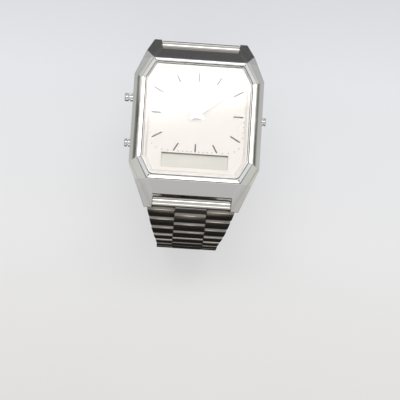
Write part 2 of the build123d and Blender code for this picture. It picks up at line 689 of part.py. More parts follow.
def stepper_coil():
    """Iron core lying on the stator's limbs, and the winding round it."""
    low = STATOR_BASE + STATOR_THICKNESS
    half = CORE_WIDTH / 2
    core = block(CORE_X - half, CORE_X + half, ROTOR_AXIS[1] - half, STATOR_END_Y - FIT,
                 low, low + CORE_THICKNESS)
    middle = low + CORE_THICKNESS / 2
    winding = block(CORE_X - COIL_WIDTH / 2, CORE_X + COIL_WIDTH / 2, COIL_LOW_Y, COIL_HIGH_Y,
                    middle - COIL_HEIGHT / 2, middle + COIL_HEIGHT / 2)
    winding = fillet(winding.edges().filter_by(Axis.Y), COIL_HEIGHT * COIL_ROUND_SHARE)
    winding -= block(CORE_X - half - FIT, CORE_X + half + FIT, COIL_LOW_Y - OVERRUN, COIL_HIGH_Y + OVERRUN,
                     low - FIT, low + CORE_THICKNESS + FIT)
    return group([core, winding])


def circuit_board():
    """Board across the back of the module, open at the battery."""
    board = slab(plan(RING_OUTLINE, -MODULE_INSET), BOARD_BASE, BOARD_TOP)
    board -= upright(BATTERY_X, BATTERY_Y, BATTERY_RADIUS + CLEARANCE, 0, DIAL_BASE)
    for x, y in PILLARS:
        board -= upright(x, y, SCREW_HEAD_RADIUS + CLEARANCE, 0, DIAL_BASE)
    return board


def circuit_parts():
    """Quartz can on the board's dial side and the chip on its back."""
    can = Rot(90, 0, 0) * Cylinder(CAN_RADIUS, CAN_LENGTH)
    can = Pos(CAN_X, CAN_Y, BOARD_TOP + CAN_RADIUS + FIT) * can
    half = CHIP_SIDE / 2
    chip = block(CHIP_X - half, CHIP_X + half, CHIP_Y - half, CHIP_Y + half,
                 BOARD_BASE - CHIP_HEIGHT, BOARD_BASE)
    return group([can, chip])


def lcd_panel():
    """Two glass plates of the display, seen through the dial's window."""
    half = PANEL_WIDTH / 2
    deep = PANEL_LENGTH / 2
    middle = (PANEL_BASE + PANEL_TOP) / 2
    panel = block(-half, half, WINDOW_Y - deep, WINDOW_Y + deep, PANEL_BASE, middle)
    ledge = WINDOW_HEIGHT / 2 + CLEARANCE
    return panel + block(-half, half, WINDOW_Y - ledge, WINDOW_Y + ledge, middle, PANEL_TOP)


def lcd_connector():
    """Two rubber strips that join the board to the panel."""
    half = STRIP_LENGTH / 2
    wide = STRIP_WIDTH / 2
    places = [WINDOW_Y + way * STRIP_OFFSET for way in (-1, 1)]
    return group([block(-half, half, y - wide, y + wide, BOARD_TOP, PANEL_BASE) for y in places])


def battery():
    """Button cell with a stepped cap."""
    top = BATTERY_BASE + BATTERY_HEIGHT
    cell = upright(BATTERY_X, BATTERY_Y, BATTERY_RADIUS, BATTERY_BASE, top - BATTERY_STEP)
    return cell + upright(BATTERY_X, BATTERY_Y, BATTERY_RADIUS - BATTERY_STEP, BATTERY_BASE, top)


def battery_clamp():
    """Spring strap across the cell, its ends lying on the board."""
    reach = BATTERY_RADIUS + CLAMP_OVERLAP
    low = BATTERY_BASE - CLAMP_THICKNESS
    half = CLAMP_WIDTH / 2
    strap = block(-reach, BATTERY_RADIUS, -half, half, low, BATTERY_BASE)
    strap += block(-reach, -BATTERY_RADIUS - CLEARANCE * 2, -half, half, low, BOARD_BASE)
    return Pos(BATTERY_X, BATTERY_Y, 0) * (Rot(0, 0, 135) * strap)


def buzzer_disc():
    """Sounder disc bonded inside the case back."""
    return upright(BUZZER_X, BUZZER_Y, BUZZER_RADIUS, BACK_THICKNESS, BACK_THICKNESS + BUZZER_THICKNESS)


# Dial
def dial():
    """Dial plate with the display window and the centre hole."""
    low = DIAL_BASE
    top = low + DIAL_THICKNESS
    plate = slab(plan(RING_OUTLINE, -DIAL_INSET), low, top)
    half = WINDOW_WIDTH / 2
    deep = WINDOW_HEIGHT / 2
    plate -= block(-half, half, WINDOW_Y - deep, WINDOW_Y + deep, low - OVERRUN, top + OVERRUN)
    return plate - upright(*HUB, DIAL_HOLE / 2, low - OVERRUN, top + OVERRUN)


def dial_ring():
    """White ring that slopes from the glass down to the dial."""
    low = DIAL_BASE + DIAL_THICKNESS
    top = SEAT_HEIGHT - DIAL_RING_GAP
    ring = slab(plan(RING_OUTLINE, -DIAL_RING_INSET), low, top)
    mouth = Pos(0, 0, top) * plan(RING_OUTLINE, -DIAL_RING_LIP)
    foot = Pos(0, 0, low) * plan(RING_OUTLINE, -DIAL_RING_FOOT)
    return ring - loft([foot, mouth], ruled=True)


def hour_markers():
    """Twelve thin bars, each along its own radius."""
    top = DIAL_BASE + DIAL_THICKNESS
    bars = []
    for hour, (reach, length) in enumerate(zip(MARKER_REACH, MARKER_LENGTH)):
        half = MARKER_WIDTH / 2
        bar = block(-half, half, reach - length, reach, top, top + MARKER_HEIGHT)
        bars.append(Pos(*HUB, 0) * (Rot(0, 0, -360 / 12 * hour) * bar))
    return group(bars)


# Bracelet
def link_face(start, end):
    """Side view of a link from start to end along the strap, rounder on the wrist side."""
    length = end - start - LINK_GAP
    face = Pos((start + end) / 2, 0) * Rectangle(length, LINK_THICKNESS)
    face = fillet(face.vertices().sort_by(Axis.Y)[-2:], LINK_OUTER_ROUND)
    return fillet(face.vertices().sort_by(Axis.Y)[:2], LINK_INNER_ROUND)


def along_x(face, x_low, x_high):
    """A side view made solid between two places across the strap."""
    seat = Plane(origin=(x_low, 0, 0), x_dir=(0, 1, 0), z_dir=(1, 0, 0))
    return extrude(seat * face, amount=x_high - x_low, dir=(1, 0, 0))


def rod(s, radius, half_length):
    """A pin across the strap at a place along it."""
    return Pos(0, s, 0) * (Rot(0, 90, 0) * Cylinder(radius, 2 * half_length))


def strap_half_width(distance):
    """Half the strap's width at a distance from the spring bar."""
    share = min(max((distance - FIRST_LINK) / (TAPER_ROWS * LINK_PITCH), 0), 1)
    return (STRAP_WIDE + (STRAP_NARROW - STRAP_WIDE) * share) / 2


def strap_row(number):
    """Two side links, the centre link behind them, a rivet and the pin to the link before."""
    quarter = LINK_PITCH / 4
    start = FIRST_LINK + (number - 1) * LINK_PITCH
    wide = strap_half_width(start)
    narrow = strap_half_width(start + LINK_PITCH)
    inner = CENTRE_COLUMN / 2 + COLUMN_GAP
    side = along_x(link_face(-quarter, 3 * quarter), inner, wide + OVERRUN)
    lean = Vector(wide - narrow, LINK_PITCH)
    outside = Plane(origin=(wide, -quarter, 0), z_dir=(lean.Y, lean.X, 0))
    side = split(side, bisect_by=outside, keep=Keep.BOTTOM)
    side -= rod(0, LINK_PIN_RADIUS + RIVET_FIT, wide + OVERRUN)
    side -= rod(2 * quarter, LINK_PIN_RADIUS + RIVET_FIT, wide + OVERRUN)
    centre = along_x(link_face(quarter, 5 * quarter), -CENTRE_COLUMN / 2, CENTRE_COLUMN / 2)
    centre -= rod(2 * quarter, LINK_PIN_RADIUS + RIVET_FIT, wide)
    centre -= rod(4 * quarter, LINK_PIN_RADIUS + LINK_PIN_FIT, wide)
    hinge = rod(0, LINK_PIN_RADIUS, strap_half_width(start + quarter) - PIN_INSET)
    rivet = rod(2 * quarter, LINK_PIN_RADIUS, strap_half_width(start + 3 * quarter) - PIN_INSET)
    return [side, mirror(side, about=Plane.YZ), centre, rivet, hinge]


def strap_end():
    """Rolled tube on the spring bar with the tongue that carries the first row."""
    tongue = FIRST_LINK + LINK_PITCH / 4
    half_tube = LUG_GAP / 2 - TUBE_SLACK
    face = link_face(LINK_GAP / 2 - LINK_THICKNESS / 2, tongue + LINK_PITCH / 4)
    piece = along_x(face, -CENTRE_COLUMN / 2, CENTRE_COLUMN / 2) + rod(0, TUBE_RADIUS, half_tube)
    piece -= rod(0, SPRING_BAR_RADIUS + FIT, LUG_GAP)
    return piece - rod(tongue, LINK_PIN_RADIUS + LINK_PIN_FIT, LUG_GAP)


def strap_places(side):
    """Place and direction of the end piece and of each row, from the case to the clasp."""
    y, z = side * BAR_Y, BAR_HEIGHT
    places = []
    angles = STRAP_12_ANGLES if side > 0 else STRAP_6_ANGLES
    lengths = [FIRST_LINK + LINK_PITCH / 4] + [LINK_PITCH] * ROWS
    for degrees, length in zip(angles, lengths):
        turn = math.radians(degrees)
        places.append((y, z, turn))
        y += side * length * math.cos(turn)
        z -= length * math.sin(turn)
    places.append((y, z, math.pi))
    return places


def on_strap(shape, side, place):
    """Moves a part from the strap's own frame to its place on the loop."""
    y, z, turn = place
    outward = (0, side * math.sin(turn), math.cos(turn))
    return Plane(origin=(0, y, z), x_dir=(side, 0, 0), z_dir=outward).location * shape


def spring_bars():
    """Two bars with thin tips that sit in the lug holes."""
    bars = []
    for y in (-1, 1):
        bar = crossbar(y * BAR_Y, BAR_HEIGHT, SPRING_BAR_RADIUS, LUG_GAP / 2 - TUBE_SLACK)
        tips = LUG_GAP / 2 + SPRING_TIP_LENGTH - FIT
        bars.append(bar + crossbar(y * BAR_Y, BAR_HEIGHT, SPRING_TIP_RADIUS, tips))
    return group(bars)


def tail_rows():
    """The last rows of the six o'clock strap, which lie inside the clasp."""
    pieces = []
    for number in range(TAIL_ROWS):
        row = strap_row(ROWS + 1 + number)
        pieces += [Pos(0, number * LINK_PITCH, 0) * piece for piece in row]
    return pieces


# Clasp, drawn in side view as distance along Y and drop below the strap's middle
CLASP_Y, CLASP_Z, CLASP_TURN = strap_places(1)[-1]


def clasp_side(points, x_low, x_high):
    """A side view of the clasp made solid on both sides of the middle."""
    face = Polygon(*[(y, CLASP_Z - drop) for y, drop in points], align=None)
    seat = Plane(origin=(x_low, 0, 0), x_dir=(0, 1, 0), z_dir=(1, 0, 0))
    solid = extrude(seat * face, amount=x_high - x_low, dir=(1, 0, 0))
    return solid + mirror(solid, about=Plane.YZ)


def clasp_bar(y, drop, radius, x_low, x_high):
    """A round bar across the clasp, on both sides of the middle when it starts off it."""
    bar = Pos((x_low + x_high) / 2, y, CLASP_Z - drop) * (Rot(0, 90, 0) * Cylinder(radius, x_high - x_low))
    return bar + mirror(bar, about=Plane.YZ)


def clasp_cover():
    """Outer plate with side walls, hinged to the twelve o'clock strap and to the leaf."""
    half = COVER_WIDTH / 2
    free = FOLD_Y - COVER_FREE_END
    low = COVER_DROP + COVER_THICKNESS
    plate = block(-half, half, free, CLASP_Y, CLASP_Z - low, CLASP_Z - COVER_DROP)
    plate = fillet(plate.edges().filter_by(Axis.Z), COVER_THICKNESS)
    inset = half - COVER_WALL_INSET
    walls = [(free + COVER_THICKNESS, COVER_DROP), (CLASP_Y - COVER_DROP, COVER_DROP),
             (CLASP_Y - COVER_DROP, COVER_WALL_TOP), (free + COVER_THICKNESS, COVER_WALL_TOP)]
    plate += clasp_side(walls, inset - COVER_WALL, inset)
    inner = CENTRE_COLUMN / 2 + COLUMN_GAP * 2
    outer = STRAP_NARROW / 2
    cheek = [(CLASP_Y - COVER_DROP, low), (CLASP_Y, low), (CLASP_Y + KNUCKLE_RADIUS, 0),
             (CLASP_Y - KNUCKLE_RADIUS, 0), (CLASP_Y - COVER_DROP, COVER_DROP)]
    plate += clasp_side(cheek, inner, outer)
    plate += clasp_bar(CLASP_Y, 0, KNUCKLE_RADIUS, inner, outer)
    ear_inner = LEAF_WIDTH / 2 + SLIDER_EAR_GAP
    ear = [(FOLD_Y - LEAF_BARREL, low), (FOLD_Y + LEAF_BARREL, low),
           (FOLD_Y + LEAF_BARREL, LEAF_DROP), (FOLD_Y - LEAF_BARREL, LEAF_DROP)]
    plate += clasp_side(ear, ear_inner, inset)
    plate += clasp_bar(FOLD_Y, LEAF_DROP, LEAF_BARREL, ear_inner, inset)
    plate -= clasp_bar(FOLD_Y, LEAF_DROP, CLASP_PIN_RADIUS + RIVET_FIT, 0, half)
    plate -= clasp_bar(CLASP_Y, 0, LINK_PIN_RADIUS + RIVET_FIT, 0, half)
    fold_pin = clasp_bar(FOLD_Y, LEAF_DROP, CLASP_PIN_RADIUS, 0, inset - PIN_INSET)
    strap_pin = clasp_bar(CLASP_Y, 0, LINK_PIN_RADIUS, 0, outer - PIN_INSET)
    return group([plate, fold_pin, strap_pin])


def clasp_leaf():
    """Inner plate with a rolled barrel at each end and a long slot."""
    half = LEAF_WIDTH / 2
    top = LEAF_DROP - LEAF_THICKNESS / 2
    plate = block(-half, half, FOLD_Y, SLIDER_PIVOT_Y, CLASP_Z - top - LEAF_THICKNESS, CLASP_Z - top)
    slot = SlotOverall(SLIDER_PIVOT_Y - FOLD_Y - 2 * LEAF_SLOT_MARGIN, LEAF_SLOT_WIDTH, rotation=90)
    plate -= slab(Pos(0, (FOLD_Y + SLIDER_PIVOT_Y) / 2) * slot, CLASP_Z - COVER_DROP, CLASP_Z)
    for y in (FOLD_Y, SLIDER_PIVOT_Y):
        plate += clasp_bar(y, LEAF_DROP, LEAF_BARREL, 0, half)
    plate -= clasp_bar(FOLD_Y, LEAF_DROP, CLASP_PIN_RADIUS + CLASP_PIN_FIT, 0, half + OVERRUN)
    plate -= clasp_bar(SLIDER_PIVOT_Y, LEAF_DROP, CLASP_PIN_RADIUS + RIVET_FIT, 0, half + OVERRUN)
    return group([plate, clasp_bar(SLIDER_PIVOT_Y, LEAF_DROP, CLASP_PIN_RADIUS, 0, half)])


def clasp_slider():
    """Sleeve round the strap with two ears for the leaf and two for the lock."""
    inner = STRAP_NARROW / 2 + SLIDER_SLACK
    deep = LINK_THICKNESS / 2 + SLIDER_SLACK
    outer = inner + SLIDER_WALL
    thick = deep + SLIDER_WALL
    box = block(-outer, outer, SLIDER_LOW_Y, SLIDER_HIGH_Y, CLASP_Z - thick, CLASP_Z + thick)
    box = fillet(box.edges().filter_by(Axis.Y), SLIDER_WALL)
    box -= block(-inner, inner, SLIDER_LOW_Y - OVERRUN, SLIDER_HIGH_Y + OVERRUN,
                 CLASP_Z - deep, CLASP_Z + deep)
    ear_low = LEAF_WIDTH / 2 + SLIDER_EAR_GAP
    ear = [(SLIDER_HIGH_Y - SLIDER_EYE * 2, deep), (SLIDER_PIVOT_Y, LEAF_DROP - SLIDER_EYE),
           (SLIDER_PIVOT_Y, LEAF_DROP + SLIDER_EYE), (SLIDER_HIGH_Y - SLIDER_EYE * 2, thick)]
    box += clasp_side(ear, ear_low, ear_low + SLIDER_EAR)
    box += clasp_bar(SLIDER_PIVOT_Y, LEAF_DROP, SLIDER_EYE, ear_low, ear_low + SLIDER_EAR)
    box -= clasp_bar(SLIDER_PIVOT_Y, LEAF_DROP, SLIDER_EYE_BORE, ear_low - FIT, outer)
    hinge = LOCK_WIDTH / 2 + CLEARANCE
    post = [(LOCK_Y - LOCK_BARREL, -deep), (LOCK_Y + LOCK_BARREL, -deep),
            (LOCK_Y + LOCK_BARREL, -LOCK_RISE), (LOCK_Y - LOCK_BARREL, -LOCK_RISE)]
    box += clasp_side(post, hinge, hinge + LOCK_EAR)
    box += clasp_bar(LOCK_Y, -LOCK_RISE, LOCK_BARREL, hinge, hinge + LOCK_EAR)
    box -= clasp_bar(LOCK_Y, -LOCK_RISE, LOCK_PIN_RADIUS + RIVET_FIT, 0, outer)
    pin = clasp_bar(LOCK_Y, -LOCK_RISE, LOCK_PIN_RADIUS, 0, hinge + LOCK_EAR)
    return group([box, pin])


def clasp_lock():
    """Flap that locks the slider to the strap, with a lip for a fingernail."""
    half = LOCK_WIDTH / 2
    low = CLASP_Z + LOCK_RISE - LOCK_THICKNESS / 2
    end = LOCK_Y + LOCK_LENGTH
    flap = block(-half, half, LOCK_Y, end, low, low + LOCK_THICKNESS)
    flap += block(-half, half, end - LOCK_THICKNESS, end, low, low + LOCK_THICKNESS + LOCK_LIP)
    flap += clasp_bar(LOCK_Y, -LOCK_RISE, LOCK_BARREL, 0, half)
    return flap - clasp_bar(LOCK_Y, -LOCK_RISE, LOCK_PIN_RADIUS + CLASP_PIN_FIT, 0, half + OVERRUN)


# Every node, in the order in which the watch is put together
os.makedirs("parts", exist_ok=True)
PIECES = (
    case_body, crystal_gasket, crystal, dial_ring, dial, hour_markers, main_plate, minute_work_wheel,
    hour_wheel, hour_hand, minute_hand, centre_wheel, third_wheel, rotor, stator, stepper_coil,
    train_bridge, bridge_screws, lcd_panel, lcd_connector, circuit_board, circuit_parts, battery,
    battery_clamp, buzzer_disc, case_back_gasket, case_back, case_back_screws, spring_bars,
    clasp_cover, clasp_leaf, clasp_slider, clasp_lock,
)
for piece in PIECES:
    save(piece.__name__, piece())
for name, side, y, stand in BUTTONS:
    save(name, group([on_wall(shape, side, y) for shape in button_parts(stand)]))
save("button_springs", group([on_wall(button_spring(), side, y) for name, side, y, stand in BUTTONS]))
for strap, side in (("strap_12", 1), ("strap_6", -1)):
    places = strap_places(side)
    save(strap + "_end", on_strap(strap_end(), side, places[0]))
    for number in range(1, ROWS + 1):
        row = [on_strap(shape, side, places[number]) for shape in strap_row(number)]
        save(strap + "_row_" + str(number), group(row))
save("strap_6_tail_rows", group([on_strap(shape, -1, strap_places(-1)[-1]) for shape in tail_rows()]))
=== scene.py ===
import math

import bmesh
import bpy
from mathutils import Matrix, Vector


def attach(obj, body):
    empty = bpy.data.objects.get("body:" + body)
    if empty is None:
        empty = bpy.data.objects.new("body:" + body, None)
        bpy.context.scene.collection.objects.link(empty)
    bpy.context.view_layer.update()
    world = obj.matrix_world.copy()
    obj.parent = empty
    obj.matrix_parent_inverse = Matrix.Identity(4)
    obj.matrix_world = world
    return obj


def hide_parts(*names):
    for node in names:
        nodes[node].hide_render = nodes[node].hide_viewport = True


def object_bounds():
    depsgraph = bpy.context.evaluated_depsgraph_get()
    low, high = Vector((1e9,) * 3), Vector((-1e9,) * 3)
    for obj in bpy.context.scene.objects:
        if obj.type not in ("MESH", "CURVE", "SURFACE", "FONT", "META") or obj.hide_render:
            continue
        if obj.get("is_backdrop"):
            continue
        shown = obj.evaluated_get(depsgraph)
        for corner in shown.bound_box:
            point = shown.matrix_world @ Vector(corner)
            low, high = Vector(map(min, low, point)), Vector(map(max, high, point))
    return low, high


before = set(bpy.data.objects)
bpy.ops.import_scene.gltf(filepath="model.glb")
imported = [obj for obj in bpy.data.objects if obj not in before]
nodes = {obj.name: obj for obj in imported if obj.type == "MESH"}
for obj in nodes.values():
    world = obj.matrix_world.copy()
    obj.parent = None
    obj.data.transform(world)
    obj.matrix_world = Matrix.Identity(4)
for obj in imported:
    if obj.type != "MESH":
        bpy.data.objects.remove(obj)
cad_low, cad_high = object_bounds()
MM = 0.001

# Camera: a long lens that looks down on the watch, from a little to the left of it and below
# it. Places are in millimetres and turns in degrees.
CAMERA_PLACE = (-6.614, -53.181, 297.899)
CAMERA_TURN = (6.7649, -2.0656, 3.4593)
CAMERA_LENS = 117.0
SENSOR = 36.0
NEAREST = 10.0
scene = bpy.context.scene
scene.view_settings.view_transform = "Standard"
view = bpy.data.cameras.new("camera")
view.lens = CAMERA_LENS
view.sensor_width = SENSOR
view.clip_start = NEAREST * MM
camera = bpy.data.objects.new("camera", view)
camera.location = [v * MM for v in CAMERA_PLACE]
camera.rotation_euler = [math.radians(v) for v in CAMERA_TURN]
scene.collection.objects.link(camera)
scene.camera = camera

# Room: pale walls that light the watch from all round. The camera, metal and glass see them
# whiter than the light that they give.
ROOM_LIGHT = 0.6


def linear(code):
    """An sRGB hex colour as linear red, green, blue and alpha."""
    parts = [int(code[place:place + 2], 16) / 255 for place in (0, 2, 4)]
    return [p / 12.92 if p <= 0.04045 else ((p + 0.055) / 1.055) ** 2.4 for p in parts] + [1.0]


def add(material, kind, settings=None, links=None):
    """Adds one node: settings go to its sockets or its own properties, links to its inputs."""
    tree = material.node_tree
    made = tree.nodes.new("ShaderNode" + kind)
    for key, value in (settings or {}).items():
        if isinstance(key, int) or key in made.inputs:
            made.inputs[key].default_value = value
        else:
            setattr(made, key, value)
    for key, (source, output) in (links or {}).items():
        tree.links.new(source.outputs[output], made.inputs[key])
    return made


def looking(material):
    """One for the rays of the camera, of metal and of glass, nothing for those that carry light."""
    path = add(material, "LightPath")
    mirrored = add(material, "Math", {"operation": "MAXIMUM"},
                   {0: (path, "Is Camera Ray"), 1: (path, "Is Glossy Ray")})
    return add(material, "Math", {"operation": "MAXIMUM"},
               {0: (mirrored, 0), 1: (path, "Is Transmission Ray")})


world = bpy.data.worlds.new("studio")
world.use_nodes = True
world.node_tree.nodes.clear()
walls = add(world, "Background", {"Color": linear("F4F4F6"), "Strength": ROOM_LIGHT})
backdrop = add(world, "Background", {"Color": linear("F3F4F6"), "Strength": 1.0})
both = add(world, "MixShader", None, {0: (looking(world), 0), 1: (walls, 0), 2: (backdrop, 0)})
add(world, "OutputWorld", None, {"Surface": (both, 0)})
scene.world = world

# Table: one wide painted board just under the bracelet. Its colour is graded as painted light:
# warm in front of the watch, whitest under it, and cool where it runs away behind.
FLOOR_SIDE = 3000.0
FLOOR_DROP = 0.2
FLOOR_NEAR = -75.0
FLOOR_FAR = 45.0
FLOOR_GLOW = 0.5
ROLLER_MARKS = 0.025


def new_material(name):
    """An empty node material and its output node."""
    material = bpy.data.materials.new(name)
    material.use_nodes = True
    material.node_tree.nodes.clear()
    return material, add(material, "OutputMaterial")


def pattern(marks):
    """The scale of a texture that has this many marks to the millimetre."""
    return marks / MM


def dress(piece, material):
    """Gives a piece or a CAD node its one material."""
    piece.data.materials.clear()
    piece.data.materials.append(material)


def deselect():
    """Leaves nothing selected."""
    bpy.ops.object.select_all(action="DESELECT")


# Emulsion rolled on board: dead matte and faintly uneven, so it shows soft shade and no shine
board, shown = new_material("painted_sweep_board")
place = add(board, "TexCoord")
axes = add(board, "SeparateXYZ", None, {"Vector": (place, "Object")})
depth = add(board, "MapRange", {"From Min": FLOOR_NEAR * MM, "From Max": FLOOR_FAR * MM},
            {"Value": (axes, "Y")})
# Painted light: the graded colour from front to back stands in for how light falls across the board
painted_light_grade = add(board, "ValToRGB", None, {"Fac": (depth, 0)})
painted_light_grade.color_ramp.elements[0].color = linear("EDEBE8")
painted_light_grade.color_ramp.elements[1].color = linear("E5E7EB")
painted_light_grade.color_ramp.elements.new(0.45).color = linear("F5F5F5")
painted_light_grade.color_ramp.elements.new(0.8).color = linear("F1F3F6")
mottle = add(board, "TexNoise", {"Scale": pattern(ROLLER_MARKS), "Detail": 2.0},
             {"Vector": (place, "Object")})
uneven = add(board, "MapRange", {"To Min": 0.975, "To Max": 1.0}, {"Value": (mottle, "Fac")})
paint = add(board, "VectorMath", {"operation": "SCALE"}, {0: (painted_light_grade, "Color"), "Scale": (uneven, 0)})
coat = add(board, "BsdfPrincipled", {"Roughness": 0.9, "Specular IOR Level": 0.1},
           {"Base Color": (paint, 0)})
# Seen straight or in metal and glass it glows in part, so it stays pale round a soft shadow
glow = add(board, "Emission", None, {"Color": (paint, 0)})
partly = add(board, "Math", {"operation": "MULTIPLY", 1: FLOOR_GLOW}, {0: (looking(board), 0)})
lifted = add(board, "MixShader", None, {0: (partly, 0), 1: (coat, "BSDF"), 2: (glow, "Emission")})
board.node_tree.links.new(lifted.outputs[0], shown.inputs["Surface"])

deselect()
floor_level = cad_low[2] - FLOOR_DROP * MM
bpy.ops.mesh.primitive_plane_add(size=FLOOR_SIDE * MM, location=(0, 0, floor_level))
sweep = bpy.context.object
bpy.ops.object.transform_apply(location=True)
sweep.name = "sweep"
dress(sweep, board)
sweep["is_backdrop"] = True

# Cards: sheets laid on the table and stood at its sides. Only metal and glass see them, as the
# dark lines that draw the edges of a polished case.
CARD_LIFT = floor_level / MM + FLOOR_DROP / 2
# Black card: matte, and gives a mirror nothing to show
card_stock, shown = new_material("black_card")
coat = add(card_stock, "BsdfPrincipled", {"Base Color": linear("141416"), "Roughness": 0.8})
card_stock.node_tree.links.new(coat.outputs["BSDF"], shown.inputs["Surface"])
# Grey card: matte, and takes the side shoulders of the case down a tone
grey_stock, shown = new_material("grey_card")
coat = add(grey_stock, "BsdfPrincipled", {"Base Color": linear("ACA9A2"), "Roughness": 0.8})
grey_stock.node_tree.links.new(coat.outputs["BSDF"], shown.inputs["Surface"])
# Name, middle, size along the two axes that the card spans, whether it stands up, and its stock
for name, middle, (width, length), upright, stock in (
    ("card_before_strap", (0, -72, CARD_LIFT), (90, 90), False, card_stock),
    ("card_behind_case", (0, 211, CARD_LIFT), (150, 238), False, card_stock),
    ("grey_card_left", (-600, 110, -10), (60, 260), True, grey_stock),
    ("grey_card_right", (600, 110, 20), (130, 260), True, grey_stock),
    ("black_card_left_high", (-595, 107, 35), (80, 22), True, card_stock),
    ("black_card_left_low", (-595, 83, 35), (80, 16), True, card_stock),
    ("black_card_right", (595, 84, 30), (70, 28), True, card_stock),
):
    deselect()
    bpy.ops.mesh.primitive_plane_add(size=1, location=[v * MM for v in middle],
                                     rotation=(0, math.pi / 2 if upright else 0, 0))
    card = bpy.context.object
    card.scale = (width * MM, length * MM, 1)
    bpy.ops.object.transform_apply(location=True, rotation=True, scale=True)
    card.name = name
    dress(card, stock)
    card.visible_camera = False
    card.visible_diffuse = False
    card.visible_shadow = False
    card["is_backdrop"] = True

# Lamps: a soft box overhead whose edge lies across the glass, one at each side for the long
# slopes of the ring, and small ones before and behind for its ends.
LAMP_COLOUR = (1.0, 0.992, 0.98)
# Name, place, what it points at, size, turn about the vertical in degrees, and watts
for name, spot, target, (width, length), turn, watts in (
    ("overhead_box", (-1, 178, 620), (-1, 178, 0), (480, 120), 12.9, 1.0),
    ("left_box", (-520, 95, 165), (0, 0, 8), (200, 200), 0, 0.3),
    ("right_box", (520, 95, 145), (0, 0, 8), (200, 200), 0, 0.3),
    ("front_box", (10, -400, 200), (0, 0, 8), (160, 100), 0, 0.12),
    ("back_box", (20, 430, 52), (0, 0, 8), (160, 50), 0, 0.06),
):
    lamp = bpy.data.lights.new(name, "AREA")
    lamp.shape = "RECTANGLE"
    lamp.size = width * MM
    lamp.size_y = length * MM
    lamp.energy = watts
    lamp.color = LAMP_COLOUR
    holder = bpy.data.objects.new(name, lamp)
    holder.location = [v * MM for v in spot]
    aim = (Vector(target) - Vector(spot)).to_track_quat("-Z", "Y").to_matrix()
    holder.rotation_euler = (Matrix.Rotation(math.radians(turn), 3, "Z") @ aim).to_euler()
    scene.collection.objects.link(holder)

# Case body: one moulding of resin with four lugs, plated with bright chrome. The mould gives
# flat satin ends and polished sides, and the plating takes their grain with it.
# Where the end faces begin, and the height above which the strip at the ring's foot is painted dark as
# shade
END_FACE_FROM = 13.96
SHADED_STRIP_LEVEL = 7.39
# Foot of the ring: its side, the direction of its slanted corners and how far out they lie
RING_SIDE = 13.0
SLANT = (0.875, 0.484)
SLANT_REACH = 15.88
# Width of the shoulders and how far polishing has rounded them
SHOULDER_SPAN = 1.9
SHOULDER_BULGE = 0.25
# Depth of every fine grain, and marks to the millimetre of this one. The satin grain is drawn
# coarser than the real one, so that it shows.
FINE_RELIEF = 0.01
SATIN_GRAIN = 8.0
POLISH_WAVES = 0.26
# Chrome on resin: a mirror with a slow wave on the sides, and a soft satin sheen on the ends. The ends'
# slightly darker colour is painted shade.
plating, shown = new_material("chrome_plated_resin")
place = add(plating, "TexCoord")
axes = add(plating, "SeparateXYZ", None, {"Vector": (place, "Object")})
along = add(plating, "Math", {"operation": "ABSOLUTE"}, {0: (axes, "Y")})
at_end = add(plating, "Math", {"operation": "GREATER_THAN", 1: END_FACE_FROM * MM}, {0: (along, 0)})
grain = add(plating, "TexNoise", {"Scale": pattern(SATIN_GRAIN), "Detail": 3.0, "Roughness": 0.6},
            {"Vector": (place, "Object")})
wave = add(plating, "TexNoise", {"Scale": pattern(POLISH_WAVES), "Detail": 2.0},
           {"Vector": (place, "Object")})
satin = add(plating, "MapRange", {"To Min": 0.18, "To Max": 0.28}, {"Value": (grain, "Fac")})
polish = add(plating, "MapRange", {"To Min": 0.07, "To Max": 0.14}, {"Value": (wave, "Fac")})
finish = add(plating, "Mix", {"data_type": "FLOAT"}, {0: (at_end, 0), 2: (polish, 0), 3: (satin, 0)})
shade = add(plating, "ValToRGB", None, {"Fac": (wave, "Fac")})
shade.color_ramp.elements[0].color = linear("C6C6BE")
shade.color_ramp.elements[1].color = linear("D0CFC9")
# Painted shade: the end faces take a slightly darker colour than the sides
ends_shaded = add(plating, "Mix", {"data_type": "RGBA", 7: linear("C1BFBC")},
           {0: (at_end, 0), 6: (shade, "Color")})
# Painted shade: the flat strip round the foot of the ring, in the recess between ring and glass, is
# coloured dark
shaded_strip = add(plating, "Math", {"operation": "GREATER_THAN", 1: SHADED_STRIP_LEVEL * MM}, {0: (axes, "Z")})
shaded_tone = add(plating, "Mix", {"data_type": "RGBA", 7: linear("55544F")}, {0: (shaded_strip, 0), 6: (ends_shaded, 2)})
# Polishing rounds the shoulders a little, from the foot of the ring to the edge of the case
aside = add(plating, "Math", {"operation": "ABSOLUTE"}, {0: (axes, "X")})
side_way = add(plating, "Math", {"operation": "SUBTRACT", 1: RING_SIDE * MM}, {0: (aside, 0)})
slant_x = add(plating, "Math", {"operation": "MULTIPLY", 1: SLANT[0]}, {0: (aside, 0)})
slant_y = add(plating, "Math", {"operation": "MULTIPLY_ADD", 1: SLANT[1]},
              {0: (along, 0), 2: (slant_x, 0)})
slant_way = add(plating, "Math", {"operation": "SUBTRACT", 1: SLANT_REACH * MM}, {0: (slant_y, 0)})
way = add(plating, "Math", {"operation": "MAXIMUM"}, {0: (side_way, 0), 1: (slant_way, 0)})
share = add(plating, "MapRange", {"From Max": SHOULDER_SPAN * MM}, {"Value": (way, 0)})
rest = add(plating, "Math", {"operation": "SUBTRACT", 0: 1.0}, {1: (share, 0)})
bulge = add(plating, "Math", {"operation": "MULTIPLY"}, {0: (share, 0), 1: (rest, 0)})
swell = add(plating, "Bump", {"Strength": 1.0, "Distance": SHOULDER_BULGE * MM}, {"Height": (bulge, 0)})
bump = add(plating, "Bump", {"Strength": 0.12, "Distance": FINE_RELIEF * MM},
           {"Height": (grain, "Fac"), "Normal": (swell, "Normal")})
metal = add(plating, "BsdfPrincipled", {"Metallic": 1.0},
            {"Base Color": (shaded_tone, 2), "Roughness": (finish, 0), "Normal": (bump, "Normal")})
plating.node_tree.links.new(metal.outputs["BSDF"], shown.inputs["Surface"])
dress(nodes["case_body"], plating)

